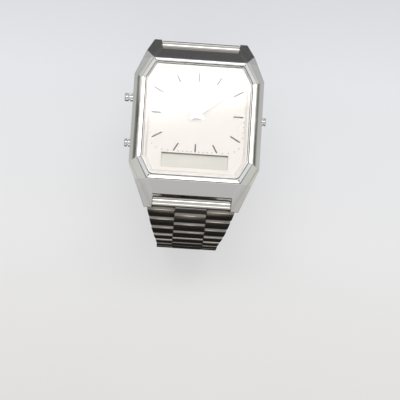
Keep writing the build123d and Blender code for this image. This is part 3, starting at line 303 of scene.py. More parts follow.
# Bezel ring: moulded in one with the case, plated with it and polished on a wheel. A short
# upright step, a flat slope up to the glass and a thin crest that leans in over the seal.
# Half width, half of its straight side, half of its straight end and half length
RING_OUTLINE = (13.0, 9.3, 10.51, 13.8)
# How far each line lies outside the ring's outline, its corner radius and its height
RING_LINES = (
    (0.03, 0.5, 7.35), (0.03, 0.5, 7.74), (0.01, 0.5, 7.81), (-0.04, 0.5, 7.86), (-0.66, 1.2, 8.30),
    (-0.72, 1.25, 8.33), (-0.77, 1.3, 8.30), (-0.78, 1.3, 8.17), (-0.61, 1.3, 8.07), (-0.61, 1.3, 7.25),
)
CORNER_STEPS = 6
# Edges that turn by more than this many degrees stay sharp
SHARP_FROM = 32


def plain_metal(name, tones, roughness, marks, stretch, relief):
    """A metal with its own grain. The marks to the millimetre are fewer than the real metal's, so
    that they show, and they are drawn out along an axis whose stretch is below one."""
    material, out = new_material(name)
    where = add(material, "TexCoord")
    laid = add(material, "Mapping", {"Scale": stretch}, {"Vector": (where, "Object")})
    lines = add(material, "TexNoise", {"Scale": pattern(marks), "Detail": 4.0, "Roughness": 0.65},
                {"Vector": (laid, "Vector")})
    hue = add(material, "ValToRGB", None, {"Fac": (lines, "Fac")})
    hue.color_ramp.elements[0].position = 0.3
    hue.color_ramp.elements[0].color = linear(tones[0])
    hue.color_ramp.elements[1].position = 0.7
    hue.color_ramp.elements[1].color = linear(tones[1])
    rough = add(material, "MapRange", {"To Min": roughness[0], "To Max": roughness[1]},
                {"Value": (lines, "Fac")})
    raised = add(material, "Bump", {"Strength": relief, "Distance": FINE_RELIEF * MM},
                 {"Height": (lines, "Fac")})
    shader = add(material, "BsdfPrincipled", {"Metallic": 1.0},
                 {"Base Color": (hue, "Color"), "Roughness": (rough, 0), "Normal": (raised, "Normal")})
    material.node_tree.links.new(shader.outputs["BSDF"], out.inputs["Surface"])
    return material


def choose(kind, rule):
    """In edit mode, selects only the vertices, edges or faces for which the rule holds."""
    bpy.ops.mesh.select_mode(type=kind)
    bpy.ops.mesh.select_all(action="DESELECT")
    mesh = bmesh.from_edit_mesh(bpy.context.edit_object.data)
    for item in {"VERT": mesh.verts, "EDGE": mesh.edges, "FACE": mesh.faces}[kind]:
        if rule(item):
            item.select_set(True)
    mesh.select_flush_mode()
    bmesh.update_edit_mesh(bpy.context.edit_object.data)


def joined(pieces):
    """Joins meshes into one object."""
    deselect()
    for piece in pieces:
        piece.select_set(True)
    bpy.context.view_layer.objects.active = pieces[0]
    bpy.ops.object.join()
    return pieces[0]


def eight_sided(outline, grow):
    """Corners of the case's eight-sided plan, in millimetres, moved outwards by grow."""
    half_width, flat, corner, half_length = outline
    slant = Vector((half_length - flat, half_width - corner)).normalized()
    reach = slant.x * half_width + slant.y * flat + grow
    edge, end = half_width + grow, half_length + grow
    near = (edge, (reach - slant.x * edge) / slant.y)
    far = ((reach - slant.y * end) / slant.x, end)
    half = [near, far, (-far[0], far[1]), (-near[0], near[1])]
    return half + [(-x, -y) for x, y in half]


def eight_sided_line(outline, grow, rounding, height):
    """A closed line of edges round the eight-sided plan with rounded corners."""
    deselect()
    bpy.ops.mesh.primitive_circle_add(vertices=8, radius=MM)
    line = bpy.context.object
    for vert, (x, y) in zip(line.data.vertices, eight_sided(outline, grow)):
        vert.co = (x * MM, y * MM, height * MM)
    bpy.ops.object.mode_set(mode="EDIT")
    bpy.ops.mesh.select_all(action="SELECT")
    bpy.ops.mesh.bevel(offset=rounding * MM * math.tan(math.pi / 8), segments=CORNER_STEPS,
                       affect="VERTICES")
    bpy.ops.object.mode_set(mode="OBJECT")
    return line


def same_line(edge, starts):
    """Whether both ends of an edge belong to one of the joined lines."""
    places = [max(n for n, start in enumerate(starts) if start <= vert.index) for vert in edge.verts]
    return places[0] == places[1]


def skinned(lines, closed=True):
    """Bridges a row of closed lines, no two at one height, into one shell."""
    counts = [len(line.data.vertices) for line in lines]
    starts = [0]
    for count in counts:
        starts.append(starts[-1] + count)
    shell = joined(lines)
    bpy.ops.object.mode_set(mode="EDIT")
    pairs = list(zip(range(len(counts)), range(1, len(counts))))
    if closed:
        pairs.append((len(counts) - 1, 0))
    for one, other in pairs:
        chosen = set(range(starts[one], starts[one + 1])) | set(range(starts[other], starts[other + 1]))
        choose("EDGE", lambda edge: edge.verts[0].index in chosen and edge.verts[1].index in chosen
               and len(edge.link_faces) < 2 and same_line(edge, starts))
        bpy.ops.mesh.bridge_edge_loops()
    bpy.ops.mesh.select_all(action="SELECT")
    bpy.ops.mesh.normals_make_consistent(inside=False)
    bpy.ops.object.mode_set(mode="OBJECT")
    return shell


def smooth(piece):
    """Smooth shading that keeps the hard edges."""
    deselect()
    piece.select_set(True)
    bpy.context.view_layer.objects.active = piece
    bpy.ops.object.shade_smooth_by_angle(angle=math.radians(SHARP_FROM))
    return piece


def settle(piece, name, body, material):
    """Applies a finished piece's place, names it and lets it ride on its body."""
    deselect()
    piece.select_set(True)
    bpy.context.view_layer.objects.active = piece
    bpy.ops.object.transform_apply(location=True, rotation=True, scale=True)
    piece.name = name
    piece.data.name = name
    dress(piece, material)
    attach(piece, body)


# Chrome off the polishing wheel: the brightest mirror on the watch, with hardly any grain
bezel_metal = plain_metal("polished_chrome_plate", ("DADAD8", "E6E6E4"), (0.05, 0.1), 0.3, (1, 1, 1), 0.02)
bezel = skinned([eight_sided_line(RING_OUTLINE, *line) for line in RING_LINES])
settle(smooth(bezel), "bezel_ring", "case", bezel_metal)

# Crystal: pressed mineral glass, ground flat, with a bevelled rim. It is pushed into its seat
# from the front, against its seal.
HANDLING_SMEARS = 0.09
# Polished glass: clear, with its shine softened a little by handling
glass, shown = new_material("mineral_glass")
place = add(glass, "TexCoord")
smear = add(glass, "TexNoise", {"Scale": pattern(HANDLING_SMEARS), "Detail": 2.0},
            {"Vector": (place, "Object")})
gloss = add(glass, "MapRange", {"To Min": 0.05, "To Max": 0.1}, {"Value": (smear, "Fac")})
pane = add(glass, "BsdfPrincipled",
           {"Base Color": linear("FDFCFB"), "Transmission Weight": 1.0, "IOR": 1.47},
           {"Roughness": (gloss, 0)})
path = add(glass, "LightPath")
clear = add(glass, "BsdfTransparent", {"Color": linear("FAF8F7")})
through = add(glass, "MixShader", None,
              {0: (path, "Is Shadow Ray"), 1: (pane, "BSDF"), 2: (clear, "BSDF")})
glass.node_tree.links.new(through.outputs["Shader"], shown.inputs["Surface"])
dress(nodes["crystal"], glass)

# Seals and display strips: black nitrile rubber, moulded. One seal lies round the glass, one
# under the back, and two strips join the display to the board.
RUBBER_BLOOM = 5.0
# Moulded rubber: a dull black skin. Its bloom is drawn coarser than the real one, so it shows.
rubber, shown = new_material("nitrile_rubber")
place = add(rubber, "TexCoord")
skin = add(rubber, "TexNoise", {"Scale": pattern(RUBBER_BLOOM), "Detail": 2.0},
           {"Vector": (place, "Object")})
shade = add(rubber, "ValToRGB", None, {"Fac": (skin, "Fac")})
shade.color_ramp.elements[0].color = linear("17171A")
shade.color_ramp.elements[1].color = linear("232326")
bump = add(rubber, "Bump", {"Strength": 0.2, "Distance": FINE_RELIEF * MM}, {"Height": (skin, "Fac")})
body = add(rubber, "BsdfPrincipled", {"Roughness": 0.6},
           {"Base Color": (shade, "Color"), "Normal": (bump, "Normal")})
rubber.node_tree.links.new(body.outputs["BSDF"], shown.inputs["Surface"])
for name in ("crystal_gasket", "case_back_gasket", "lcd_connector"):
    dress(nodes[name], rubber)

# Module frame: black resin, moulded, with a seat for every part of the movement. It drops into
# the case from the back.
MOULD_GRAIN = 4.0
# Moulded resin: deep grey, with the spark grain of the mould drawn coarser, so it shows
resin, shown = new_material("black_moulded_resin")
place = add(resin, "TexCoord")
skin = add(resin, "TexNoise", {"Scale": pattern(MOULD_GRAIN), "Detail": 2.0},
           {"Vector": (place, "Object")})
shade = add(resin, "ValToRGB", None, {"Fac": (skin, "Fac")})
shade.color_ramp.elements[0].color = linear("1B1B1D")
shade.color_ramp.elements[1].color = linear("29292B")
bump = add(resin, "Bump", {"Strength": 0.15, "Distance": FINE_RELIEF * MM}, {"Height": (skin, "Fac")})
body = add(resin, "BsdfPrincipled", {"Roughness": 0.45},
           {"Base Color": (shade, "Color"), "Normal": (bump, "Normal")})
resin.node_tree.links.new(body.outputs["BSDF"], shown.inputs["Surface"])
dress(nodes["main_plate"], resin)

# Stepping motor: an iron stator stamped from sheet, a coil wound on an iron core, and a small
# magnet that turns between the poles. All of it lies in the frame, under the bridge.
# Annealed iron: plain grey, with faint lines from rolling
iron = plain_metal("annealed_soft_iron", ("77777A", "8E8E90"), (0.3, 0.45), 1.5, (1, 8, 1), 0.1)
dress(nodes["stator"], iron)
# Enamelled wire: glossy red-brown turns, side by side
copper = plain_metal("enamelled_copper_wire", ("7A3213", "B2562A"), (0.2, 0.35), 3.0, (0.1, 3, 0.1), 0.6)
dress(nodes["stepper_coil"], copper)
# Sintered magnet: nearly black and sandy
magnet = plain_metal("sintered_magnet", ("3B3B3E", "55555A"), (0.4, 0.55), 6.0, (1, 1, 1), 0.3)
dress(nodes["rotor"], magnet)

# Gear train: acetal wheels, moulded with their pinions, and a brass centre wheel that carries
# the minute hand. Each is set in the frame before the bridge goes on.
RESIN_FLOW = 0.7
# Natural acetal: milky and slightly see-through, with slow flow lines
acetal, shown = new_material("natural_acetal")
place = add(acetal, "TexCoord")
flow = add(acetal, "TexNoise", {"Scale": pattern(RESIN_FLOW), "Detail": 2.0},
           {"Vector": (place, "Object")})
shade = add(acetal, "ValToRGB", None, {"Fac": (flow, "Fac")})
shade.color_ramp.elements[0].color = linear("DDD8C6")
shade.color_ramp.elements[1].color = linear("E8E4D6")
body = add(acetal, "BsdfPrincipled",
           {"Roughness": 0.4, "Subsurface Weight": 0.1, "Subsurface Scale": 0.5 * MM},
           {"Base Color": (shade, "Color")})
acetal.node_tree.links.new(body.outputs["BSDF"], shown.inputs["Surface"])
for name in ("minute_work_wheel", "hour_wheel", "third_wheel"):
    dress(nodes[name], acetal)
# Lapped brass: warm yellow, with fine scratches in no one direction
brass = plain_metal("lapped_brass", ("A8802F", "C79E4C"), (0.22, 0.35), 2.5, (1, 1, 1), 0.1)
dress(nodes["centre_wheel"], brass)

# Bridge, its screws, the cell's clamp and the springs of the buttons: spring steel, stamped,
# turned or coiled. The bridge is screwed down over the wheels, and the clamp holds the cell.
# Spring steel: plain grey, with fine lines from rolling
spring_steel = plain_metal("stamped_spring_steel", ("9B9B9A", "B4B4B2"), (0.22, 0.34), 1.8, (1, 8, 1), 0.1)
for name in ("train_bridge", "bridge_screws", "battery_clamp", "button_springs"):
    dress(nodes[name], spring_steel)

# Display: two glass plates with liquid crystal between them, behind a film. It sits in the
# frame under the window of the dial and shows nothing.
FILM_FIBRES = 0.9
# Polariser: a flat, warm grey-green film with a glassy top
film, shown = new_material("display_polariser")
place = add(film, "TexCoord")
fibre = add(film, "TexNoise", {"Scale": pattern(FILM_FIBRES), "Detail": 2.0},
            {"Vector": (place, "Object")})
shade = add(film, "ValToRGB", None, {"Fac": (fibre, "Fac")})
shade.color_ramp.elements[0].color = linear("D2D2CA")
shade.color_ramp.elements[1].color = linear("DAD9D1")
body = add(film, "BsdfPrincipled", {"Roughness": 0.22, "Coat Weight": 0.6, "Coat Roughness": 0.05},
           {"Base Color": (shade, "Color")})
film.node_tree.links.new(body.outputs["BSDF"], shown.inputs["Surface"])
dress(nodes["lcd_panel"], film)

# Circuit board: glass cloth in resin, etched and coated with green mask, with a quartz can and
# a chip soldered on. It lies in the frame, behind the wheels.
CLOTH_WAVES = 2.2
# Solder mask: glossy green, through which the cloth shows as a fine weave
laminate, shown = new_material("solder_masked_laminate")
place = add(laminate, "TexCoord")
weave = add(laminate, "TexWave", {"Scale": pattern(CLOTH_WAVES), "Distortion": 0.4},
            {"Vector": (place, "Object")})
shade = add(laminate, "ValToRGB", None, {"Fac": (weave, "Fac")})
shade.color_ramp.elements[0].color = linear("0F4A2A")
shade.color_ramp.elements[1].color = linear("16603A")
body = add(laminate, "BsdfPrincipled", {"Roughness": 0.3}, {"Base Color": (shade, "Color")})
laminate.node_tree.links.new(body.outputs["BSDF"], shown.inputs["Surface"])
dress(nodes["circuit_board"], laminate)
# Deep-drawn can: cool grey, with lines along the draw
can_steel = plain_metal("drawn_can_steel", ("8D8D92", "A5A5A9"), (0.25, 0.38), 1.5, (1, 6, 1), 0.1)
dress(nodes["circuit_parts"], can_steel)

# Cell: a pressed steel cup and lid, nickel plated and crimped over a seal. It drops into the
# frame from the back, under its clamp.
# Nickel plate: warm silver with a soft even sheen
nickel = plain_metal("nickel_plated_cell", ("B4B3AE", "C9C8C3"), (0.22, 0.34), 1.8, (1, 1, 1), 0.08)
dress(nodes["battery"], nickel)

# Dial and its ring: a thin plate and a moulded slope round it, both sprayed warm white. The
# window is pressed out of the plate, and a fine dark line of painted shadow lies along its upper edge.
WINDOW_HALF = 7.6
WINDOW_SHADOW_Y = -7.62
WINDOW_SHADOW_HALF = 0.09
PEARL_FLAKES = 3.0
LACQUER_CLOUDS = 0.12
# Pearl lacquer: smooth warm white, slightly cloudy. Its flakes are drawn coarser than real
# ones, so that they show.
lacquer, shown = new_material("pearl_white_lacquer")
place = add(lacquer, "TexCoord")
pearl = add(lacquer, "TexNoise", {"Scale": pattern(PEARL_FLAKES), "Detail": 3.0},
            {"Vector": (place, "Object")})
cloud = add(lacquer, "TexNoise", {"Scale": pattern(LACQUER_CLOUDS), "Detail": 1.0},
            {"Vector": (place, "Object")})
shade = add(lacquer, "ValToRGB", None, {"Fac": (cloud, "Fac")})
shade.color_ramp.elements[0].color = linear("E8E5E0")
shade.color_ramp.elements[1].color = linear("EDEBE7")
spot = add(lacquer, "SeparateXYZ", None, {"Vector": (place, "Object")})
# Painted shadow: a thin dark line along the window's upper edge, where its wall would shade the display
above = add(lacquer, "Math", {"operation": "COMPARE", 1: WINDOW_SHADOW_Y * MM, 2: WINDOW_SHADOW_HALF * MM},
            {0: (spot, "Y")})
across = add(lacquer, "Math", {"operation": "COMPARE", 1: 0.0, 2: WINDOW_HALF * MM}, {0: (spot, "X")})
window_shadow = add(lacquer, "Math", {"operation": "MULTIPLY"}, {0: (above, 0), 1: (across, 0)})
shaded_tone = add(lacquer, "Mix", {"data_type": "RGBA", 7: linear("55534D")},
           {0: (window_shadow, 0), 6: (shade, "Color")})
sheen = add(lacquer, "MapRange", {"To Min": 0.42, "To Max": 0.55}, {"Value": (pearl, "Fac")})
bump = add(lacquer, "Bump", {"Strength": 0.08, "Distance": FINE_RELIEF * MM}, {"Height": (pearl, "Fac")})
body = add(lacquer, "BsdfPrincipled", None,
           {"Base Color": (shaded_tone, 2), "Roughness": (sheen, 0), "Normal": (bump, "Normal")})
lacquer.node_tree.links.new(body.outputs["BSDF"], shown.inputs["Surface"])
for name in ("dial", "dial_ring"):
    dress(nodes[name], lacquer)

# Hour bars: twelve thin strips of brass, pressed to shape and plated dark. They are fixed to
# the dial before the hands go on.
# Dark plate: a charcoal satin
bar_metal = plain_metal("dark_plated_brass", ("3A3A3C", "505054"), (0.25, 0.4), 4.0, (1, 1, 1), 0.1)
dress(nodes["hour_markers"], bar_metal)

# Minute dots: raised drops of grey lacquer, printed between the hour bars along the same
# rounded track. Low domes, each one a short bevelled disc.
DIAL_TOP = 5.8
HUB_Y = 1.5
TRACK_HALF_WIDTH = 10.7
TRACK_HALF_HEIGHT = 8.6
TRACK_SQUARENESS = 6
MINUTES = 60
MINUTES_PER_BAR = 5
DEGREES_PER_MINUTE = 6
DOT_RADIUS = 0.13
DOT_HEIGHT = 0.05
INK_SPREAD = 4.0
# A face points along an axis where its normal has more than this share of it
FACING = 0.9
dots = []
for minute in range(MINUTES):
    if minute % MINUTES_PER_BAR == 0:
        continue
    turn = math.radians(90 - DEGREES_PER_MINUTE * minute)
    wide, high = abs(math.cos(turn)) / TRACK_HALF_WIDTH, abs(math.sin(turn)) / TRACK_HALF_HEIGHT
    reach = (wide ** TRACK_SQUARENESS + high ** TRACK_SQUARENESS) ** (-1 / TRACK_SQUARENESS)
    spot = (reach * math.cos(turn), HUB_Y + reach * math.sin(turn), DIAL_TOP + DOT_HEIGHT / 2)
    deselect()
    bpy.ops.mesh.primitive_cylinder_add(vertices=16, radius=DOT_RADIUS * MM, depth=DOT_HEIGHT * MM,
                                        location=[v * MM for v in spot])
    bpy.ops.object.mode_set(mode="EDIT")
    choose("FACE", lambda face: face.normal.z > FACING)
    bpy.ops.mesh.bevel(offset=DOT_HEIGHT * MM / 2, segments=2)
    bpy.ops.object.mode_set(mode="OBJECT")
    dots.append(bpy.context.object)
# Printing ink: a flat mid grey, a little uneven in the drop
ink, shown = new_material("grey_printing_ink")
place = add(ink, "TexCoord")
spread = add(ink, "TexNoise", {"Scale": pattern(INK_SPREAD)}, {"Vector": (place, "Object")})
shade = add(ink, "ValToRGB", None, {"Fac": (spread, "Fac")})
shade.color_ramp.elements[0].color = linear("8E8B86")
shade.color_ramp.elements[1].color = linear("A09D97")
body = add(ink, "BsdfPrincipled", {"Roughness": 0.5}, {"Base Color": (shade, "Color")})
ink.node_tree.links.new(body.outputs["BSDF"], shown.inputs["Surface"])
settle(joined(dots), "minute_dots", "case", ink)

# Hands: slim batons stamped from brass strip, silver plated and polished. The hour hand is
# pressed on its pipe first, and the minute hand on its arbor above it.
# Silver plate: a near-white mirror
hand_metal = plain_metal("polished_silver_plate", ("D2D2D0", "E2E2E0"), (0.08, 0.16), 1.5, (1, 1, 1), 0.05)
for name in ("hour_hand", "minute_hand"):
    dress(nodes[name], hand_metal)

# Push buttons: each turned from steel bar in one with its stem: a collar at the case's bore, a
# narrow neck and a rounded head. A clip holds the stem inside the wall of the case.
WALL = 14.9
BUTTON_HEIGHT = 4.0
CAP_RADIUS = 0.925
CAP_EDGE = 0.16
NECK_RADIUS = 0.6
COLLAR_SHARE = 0.3
NECK_SHARE = 0.5
TOOL_STEP = 0.02
# Stem behind the cap, from its inner end: clip, gland with the seal in it, foot of the cap
STEM_PROFILE = (
    (-3.6, 0.4), (-3.55, 0.45), (-3.34, 0.45), (-3.33, 0.85), (-3.13, 0.85), (-3.12, 0.45), (-2.3, 0.45),
    (-2.22, 0.47), (-2.08, 0.47), (-2.0, 0.44), (-0.36, 0.45), (-0.35, 0.86), (-0.3, CAP_RADIUS),
)


def turned(profile, sides=48):
    """A turned part along the X axis, from places along it and radii in millimetres."""
    lines = []
    for number, (place, radius) in enumerate(profile):
        deselect()
        ends = number in (0, len(profile) - 1)
        bpy.ops.mesh.primitive_circle_add(vertices=sides, radius=radius * MM,
                                          fill_type="NGON" if ends else "NOTHING",
                                          location=(place * MM, 0, 0), rotation=(0, math.pi / 2, 0))
        bpy.ops.object.transform_apply(location=True, rotation=True, scale=True)
        lines.append(bpy.context.object)
    return skinned(lines, closed=False)


# Turned steel: polished in the lathe, with fine rings round the cap
button_steel = plain_metal("turned_polished_steel", ("A9A9A6", "C2C2BE"), (0.1, 0.2), 2.5, (8, 1, 1), 0.12)
# Name, side of the case, place along it and how far the cap stands out
for name, side, place, stand in (
    ("pusher_upper_left", -1, 4.9, 1.9),
    ("pusher_lower_left", -1, -5.6, 1.35),
    ("pusher_right", 1, 1.2, 0.95),
):
    collar, neck = COLLAR_SHARE * stand, NECK_SHARE * stand
    head = ((collar, CAP_RADIUS), (collar + TOOL_STEP, NECK_RADIUS), (neck, NECK_RADIUS),
            (neck + TOOL_STEP, CAP_RADIUS - TOOL_STEP), (neck + 3 * TOOL_STEP, CAP_RADIUS),
            (stand - CAP_EDGE, CAP_RADIUS), (stand - CAP_EDGE / 3, CAP_RADIUS - CAP_EDGE / 3),
            (stand, CAP_RADIUS - CAP_EDGE))
    button = turned(STEM_PROFILE + head)
    where = Matrix.Translation((side * WALL * MM, place * MM, BUTTON_HEIGHT * MM))
    button.data.transform(where @ Matrix.Rotation(0 if side > 0 else math.pi, 4, "Z"))
    settle(smooth(button), name + "_turned", name, button_steel)
    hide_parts(name)

# Case back with its screws and the sounder's disc, and the spring bars of the bracelet. The
# steel back is pressed from sheet and brushed across the case, and the disc is bonded inside.
# Brushed stainless: a warm grey sheen with long fine lines across
stainless = plain_metal("brushed_stainless_steel", ("A3A29E", "BDBCB7"), (0.26, 0.4), 2.6,
                        (0.03, 1, 1), 0.25)
for name in ("case_back", "case_back_screws", "spring_bars"):
    dress(nodes[name], stainless)
dress(nodes["buzzer_disc"], brass)

# Bracelet rows: steel strip folded into closed links, two side links and a centre link to a row,
# pressed to a low crown outside, rounder inside, and pinned across. Polished, then tumbled.
BAR_Y = 18.2
BAR_HEIGHT = 1.15
LINK_PITCH = 4.1
LINK_THICKNESS = 2.0
LINK_GAP = 0.1
LINK_CROWN = 0.24
LINK_CROWN_CUTS = 6
LINK_OUTER_ROUND = 0.7
LINK_INNER_ROUND = 0.85
LINK_ROUND_STEPS = 5
LINK_SIDE_ROUND = 0.07
FIRST_LINK = 1.65
CENTRE_COLUMN = 7.3
COLUMN_GAP = 0.08
STRAP_WIDE = 20.3
STRAP_NARROW = 14.8
TAPER_ROWS = 4.5
PIN_RADIUS = 0.4
PIN_FIT = 0.02
PIN_INSET = 0.1
PIN_SPOTS = (0, LINK_PITCH / 2)
SEAM_WIDTH = 0.12
SEAM_DEPTH = 0.1
ROWS = 10
# Share of a bar's radius that is broken off its rim
RIM_SHARE = 1 / 8
# How far a cutter runs past what it cuts, and how near to a line a corner counts as on it
OVERRUN = 1
NEARNESS = 0.1
NEARLY_ALL = 0.99
# Slope in degrees of the end piece and then of each row, from the case to the clasp
STRAP_12_ANGLES = (75.0, 76.0, 77.0, 78.0, 79.0, 81.0, 86.0, 96.0, 111.3, 132.5, 156.0)
STRAP_6_ANGLES = (62.0, 64.0, 67.0, 72.0, 79.0, 83.0, 87.0, 93.2, 106.1, 125.3, 150.3)


def block(x_low, x_high, y_low, y_high, z_low, z_high):
    """A box between two corners in millimetres, left in edit mode with nothing chosen."""
    deselect()
    middle = ((x_low + x_high) / 2 * MM, (y_low + y_high) / 2 * MM, (z_low + z_high) / 2 * MM)
    sides = ((x_high - x_low) * MM, (y_high - y_low) * MM, (z_high - z_low) * MM)
    bpy.ops.mesh.primitive_cube_add(size=1, location=middle, scale=sides)
    bpy.ops.object.transform_apply(location=True, rotation=True, scale=True)
    bpy.ops.object.mode_set(mode="EDIT")
    bpy.ops.mesh.select_all(action="DESELECT")
    return bpy.context.object


def bar(radius, x_low, x_high, y, z, sides=32):
    """A round bar across the strap, in millimetres, its rims broken."""
    deselect()
    bpy.ops.mesh.primitive_cylinder_add(
        vertices=sides, radius=radius * MM, depth=(x_high - x_low) * MM,
        location=((x_low + x_high) / 2 * MM, y * MM, z * MM), rotation=(0, math.pi / 2, 0))
    bpy.ops.object.transform_apply(location=True, rotation=True, scale=True)
    bpy.ops.object.mode_set(mode="EDIT")
    choose("FACE", lambda face: abs(face.normal.x) > FACING)
    bpy.ops.mesh.bevel(offset=radius * MM * RIM_SHARE, segments=1)
    bpy.ops.object.mode_set(mode="OBJECT")
    return bpy.context.object


def cut(piece, cutter):
    """Takes one mesh away from another and removes the cutter."""
    bpy.context.view_layer.objects.active = piece
    bore = piece.modifiers.new("bore", "BOOLEAN")
    bore.operation = "DIFFERENCE"
    bore.solver = "EXACT"
    bore.object = cutter
    bpy.ops.object.modifier_apply(modifier="bore")
    bpy.data.objects.remove(cutter)
    return piece


def folded_link(x_low, x_high, y_low, y_high):
    """One folded link lying flat: crown outside, round inside, with the seam of the fold."""
    half = LINK_THICKNESS / 2
    middle = (y_low + y_high) / 2
    reach = (y_high - y_low) / 2
    long_edge = (x_high - x_low) * MM / 2
    link = block(x_low, x_high, y_low, y_high, -half, half)
    choose("EDGE", lambda edge: abs(edge.verts[0].co.y - edge.verts[1].co.y) > reach * MM
           and edge.verts[0].co.z > 0)
    bpy.ops.mesh.subdivide(number_cuts=LINK_CROWN_CUTS)
    steps = LINK_CROWN_CUTS + 1
    for number in range(steps + 1):
        share = 2 * number / steps - 1
        row = middle + share * reach
        choose("VERT", lambda vert: vert.co.z > 0 and abs(vert.co.y - row * MM) < NEARNESS * MM)
        bpy.ops.transform.translate(value=(0, 0, -LINK_CROWN * share * share * MM))
    choose("EDGE", lambda edge: abs(edge.verts[0].co.x - edge.verts[1].co.x) > long_edge
           and abs(edge.verts[0].co.y - middle * MM) > reach * MM * NEARLY_ALL and edge.verts[0].co.z > 0)
    bpy.ops.mesh.bevel(offset=LINK_OUTER_ROUND * MM, segments=LINK_ROUND_STEPS)
    inside = -half * MM * NEARLY_ALL
    choose("EDGE", lambda edge: abs(edge.verts[0].co.x - edge.verts[1].co.x) > long_edge
           and edge.verts[0].co.z < inside and edge.verts[1].co.z < inside)
    bpy.ops.mesh.bevel(offset=LINK_INNER_ROUND * MM, segments=LINK_ROUND_STEPS)
    choose("FACE", lambda face: abs(face.normal.x) > FACING)
    bpy.ops.mesh.region_to_loop()
    bpy.ops.mesh.bevel(offset=LINK_SIDE_ROUND * MM, segments=1)
    bpy.ops.object.mode_set(mode="OBJECT")
    seam = block(x_low - OVERRUN, x_high + OVERRUN, middle - SEAM_WIDTH / 2, middle + SEAM_WIDTH / 2,
                 -half - SEAM_DEPTH, -half + SEAM_DEPTH)
    bpy.ops.object.mode_set(mode="OBJECT")
    return cut(link, seam)


def copied(piece):
    """A copy with a mesh of its own."""
    other = piece.copy()
    other.data = piece.data.copy()
    scene.collection.objects.link(other)
    return other


def strap_half_width(distance):
    """Half the strap's width at a distance from the spring bar."""
    share = min(max((distance - FIRST_LINK) / (TAPER_ROWS * LINK_PITCH), 0), 1)
    return (STRAP_WIDE + (STRAP_NARROW - STRAP_WIDE) * share) / 2


quarter = LINK_PITCH / 4
inner_edge = CENTRE_COLUMN / 2 + COLUMN_GAP
plain_width = STRAP_NARROW / 2 - inner_edge
side_pattern = folded_link(inner_edge, inner_edge + plain_width, -quarter + LINK_GAP / 2,
                           3 * quarter - LINK_GAP / 2)
for spot in PIN_SPOTS:
    hole = bar(PIN_RADIUS + PIN_FIT, inner_edge - OVERRUN, inner_edge + plain_width + OVERRUN, spot, 0)
    cut(side_pattern, hole)
centre_pattern = folded_link(-CENTRE_COLUMN / 2, CENTRE_COLUMN / 2, quarter + LINK_GAP / 2,
                             5 * quarter - LINK_GAP / 2)


def strap_row(number, shift=0.0):
    """The meshes of one row in the strap's own frame, side links tapered to the strap's edge."""
    start = FIRST_LINK + (number - 1) * LINK_PITCH
    wide = strap_half_width(start)
    narrow = strap_half_width(start + LINK_PITCH)
    parts = []
    for side in (1, -1):
        link = copied(side_pattern)
        for vert in link.data.vertices:
            share = (vert.co.y / MM + quarter) / LINK_PITCH
            outer = wide + (narrow - wide) * share
            over = (vert.co.x / MM - inner_edge) / plain_width
            vert.co.x = side * (inner_edge + over * (outer - inner_edge)) * MM
        if side < 0:
            link.data.flip_normals()
        parts.append(link)
    parts.append(copied(centre_pattern))
    for spot in PIN_SPOTS:
        reach = strap_half_width(start + spot + quarter) - PIN_INSET
        parts.append(bar(PIN_RADIUS, -reach, reach, spot, 0, 20))
    row = joined(parts)
    row.data.transform(Matrix.Translation((0, shift * MM, 0)))
    return row


def strap_places(side):
    """Place and direction of the end piece and of each row, from the case to the clasp."""
    y, z = side * BAR_Y, BAR_HEIGHT
    spots = []
    angles = STRAP_12_ANGLES if side > 0 else STRAP_6_ANGLES
    lengths = [FIRST_LINK + quarter] + [LINK_PITCH] * ROWS
    for degrees, length in zip(angles, lengths):
        turn = math.radians(degrees)
        spots.append((y, z, turn))
        y += side * length * math.cos(turn)
        z -= length * math.sin(turn)
    spots.append((y, z, math.pi))
    return spots


def on_strap(piece, side, spot):
    """Moves a mesh from the strap's own frame to its place on the loop."""
    y, z, turn = spot
    across = Vector((side, 0, 0))
    outward = Vector((0, side * math.sin(turn), math.cos(turn)))
    ahead = outward.cross(across)
    facing = Matrix((across, ahead, outward)).transposed().to_4x4()
    piece.data.transform(Matrix.Translation((0, y * MM, z * MM)) @ facing)
    return piece


# Folded steel: a brown-grey mirror, streaked along each link by the tumbling. Its base is darker than the
# same strip in the tubes, partly as painted shade for the dark surroundings that the links reflect.
shaded_link_steel = plain_metal("polished_folded_steel_shaded", ("77726B", "938E85"), (0.14, 0.24), 5.0,
                         (0.01, 1, 1), 0.15)
for strap, side in (("strap_12", 1), ("strap_6", -1)):
    spots = strap_places(side)
    for number in range(1, ROWS + 1):
        name = strap + "_row_" + str(number)
        dress(nodes[name], shaded_link_steel)
        row = smooth(on_strap(strap_row(number), side, spots[number]))
        settle(row, name + "_links", name, shaded_link_steel)
        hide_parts(name)

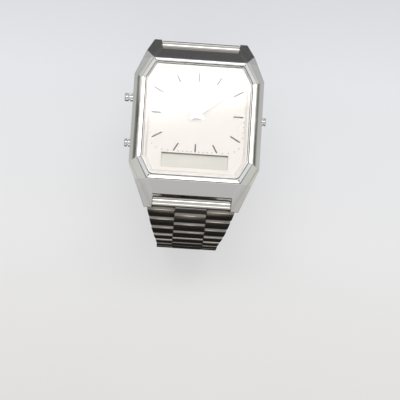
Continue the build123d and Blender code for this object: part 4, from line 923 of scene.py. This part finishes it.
# Bracelet tail: six more rows of the same links, past the last bend, that lie inside the clasp.
# The slider grips them, and where it grips sets the length of the bracelet.
TAIL_ROWS = 6
dress(nodes["strap_6_tail_rows"], shaded_link_steel)
tail = []
for number in range(TAIL_ROWS):
    tail.append(strap_row(ROWS + 1 + number, number * LINK_PITCH))
tail = smooth(on_strap(joined(tail), -1, strap_places(-1)[-1]))
settle(tail, "strap_6_tail_links", "strap_6_tail", shaded_link_steel)
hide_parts("strap_6_tail_rows")
bpy.data.objects.remove(side_pattern)
bpy.data.objects.remove(centre_pattern)

# Bracelet ends: the strip's end rolled into a tube round the spring bar, the rest folded to
# a tongue that carries the first row. The tube fills the gap between the lugs.
TUBE_RADIUS = 1.2
TUBE_BORE = 0.79
TUBE_HALF = 9.05
# Rolled strip, buffed: one clean bright line from end to end
tube_steel = plain_metal("rolled_bright_steel", ("B4B1AB", "C6C3BD"), (0.1, 0.16), 6.0, (0.004, 1, 1), 0.1)
for strap, side in (("strap_12", 1), ("strap_6", -1)):
    name = strap + "_end"
    dress(nodes[name], shaded_link_steel)
    tube = bar(TUBE_RADIUS, -TUBE_HALF, TUBE_HALF, 0, 0, 72)
    tongue = folded_link(-CENTRE_COLUMN / 2, CENTRE_COLUMN / 2, LINK_GAP - LINK_THICKNESS / 2,
                         FIRST_LINK + 2 * quarter - LINK_GAP / 2)
    end_piece = joined([tube, tongue])
    bore = bar(TUBE_BORE, -TUBE_HALF - OVERRUN, TUBE_HALF + OVERRUN, 0, 0, 48)
    cut(end_piece, bore)
    end_piece = smooth(on_strap(end_piece, side, strap_places(side)[0]))
    settle(end_piece, name + "_tube", name, tube_steel)
    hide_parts(name)

# Clasp: cover, leaf, slider and lock plate, stamped from stainless sheet and brushed along the
# strap. The leaf folds into the cover, and the lock plate closes over the tail.
# Brushed sheet: a soft grey sheen with long lines along the strap
clasp_steel = plain_metal("brushed_clasp_steel", ("9A9893", "B3B1AB"), (0.24, 0.38), 2.4,
                          (1, 0.03, 1), 0.25)
for name in ("clasp_cover", "clasp_leaf", "clasp_slider", "clasp_lock"):
    dress(nodes[name], clasp_steel)

low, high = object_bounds()
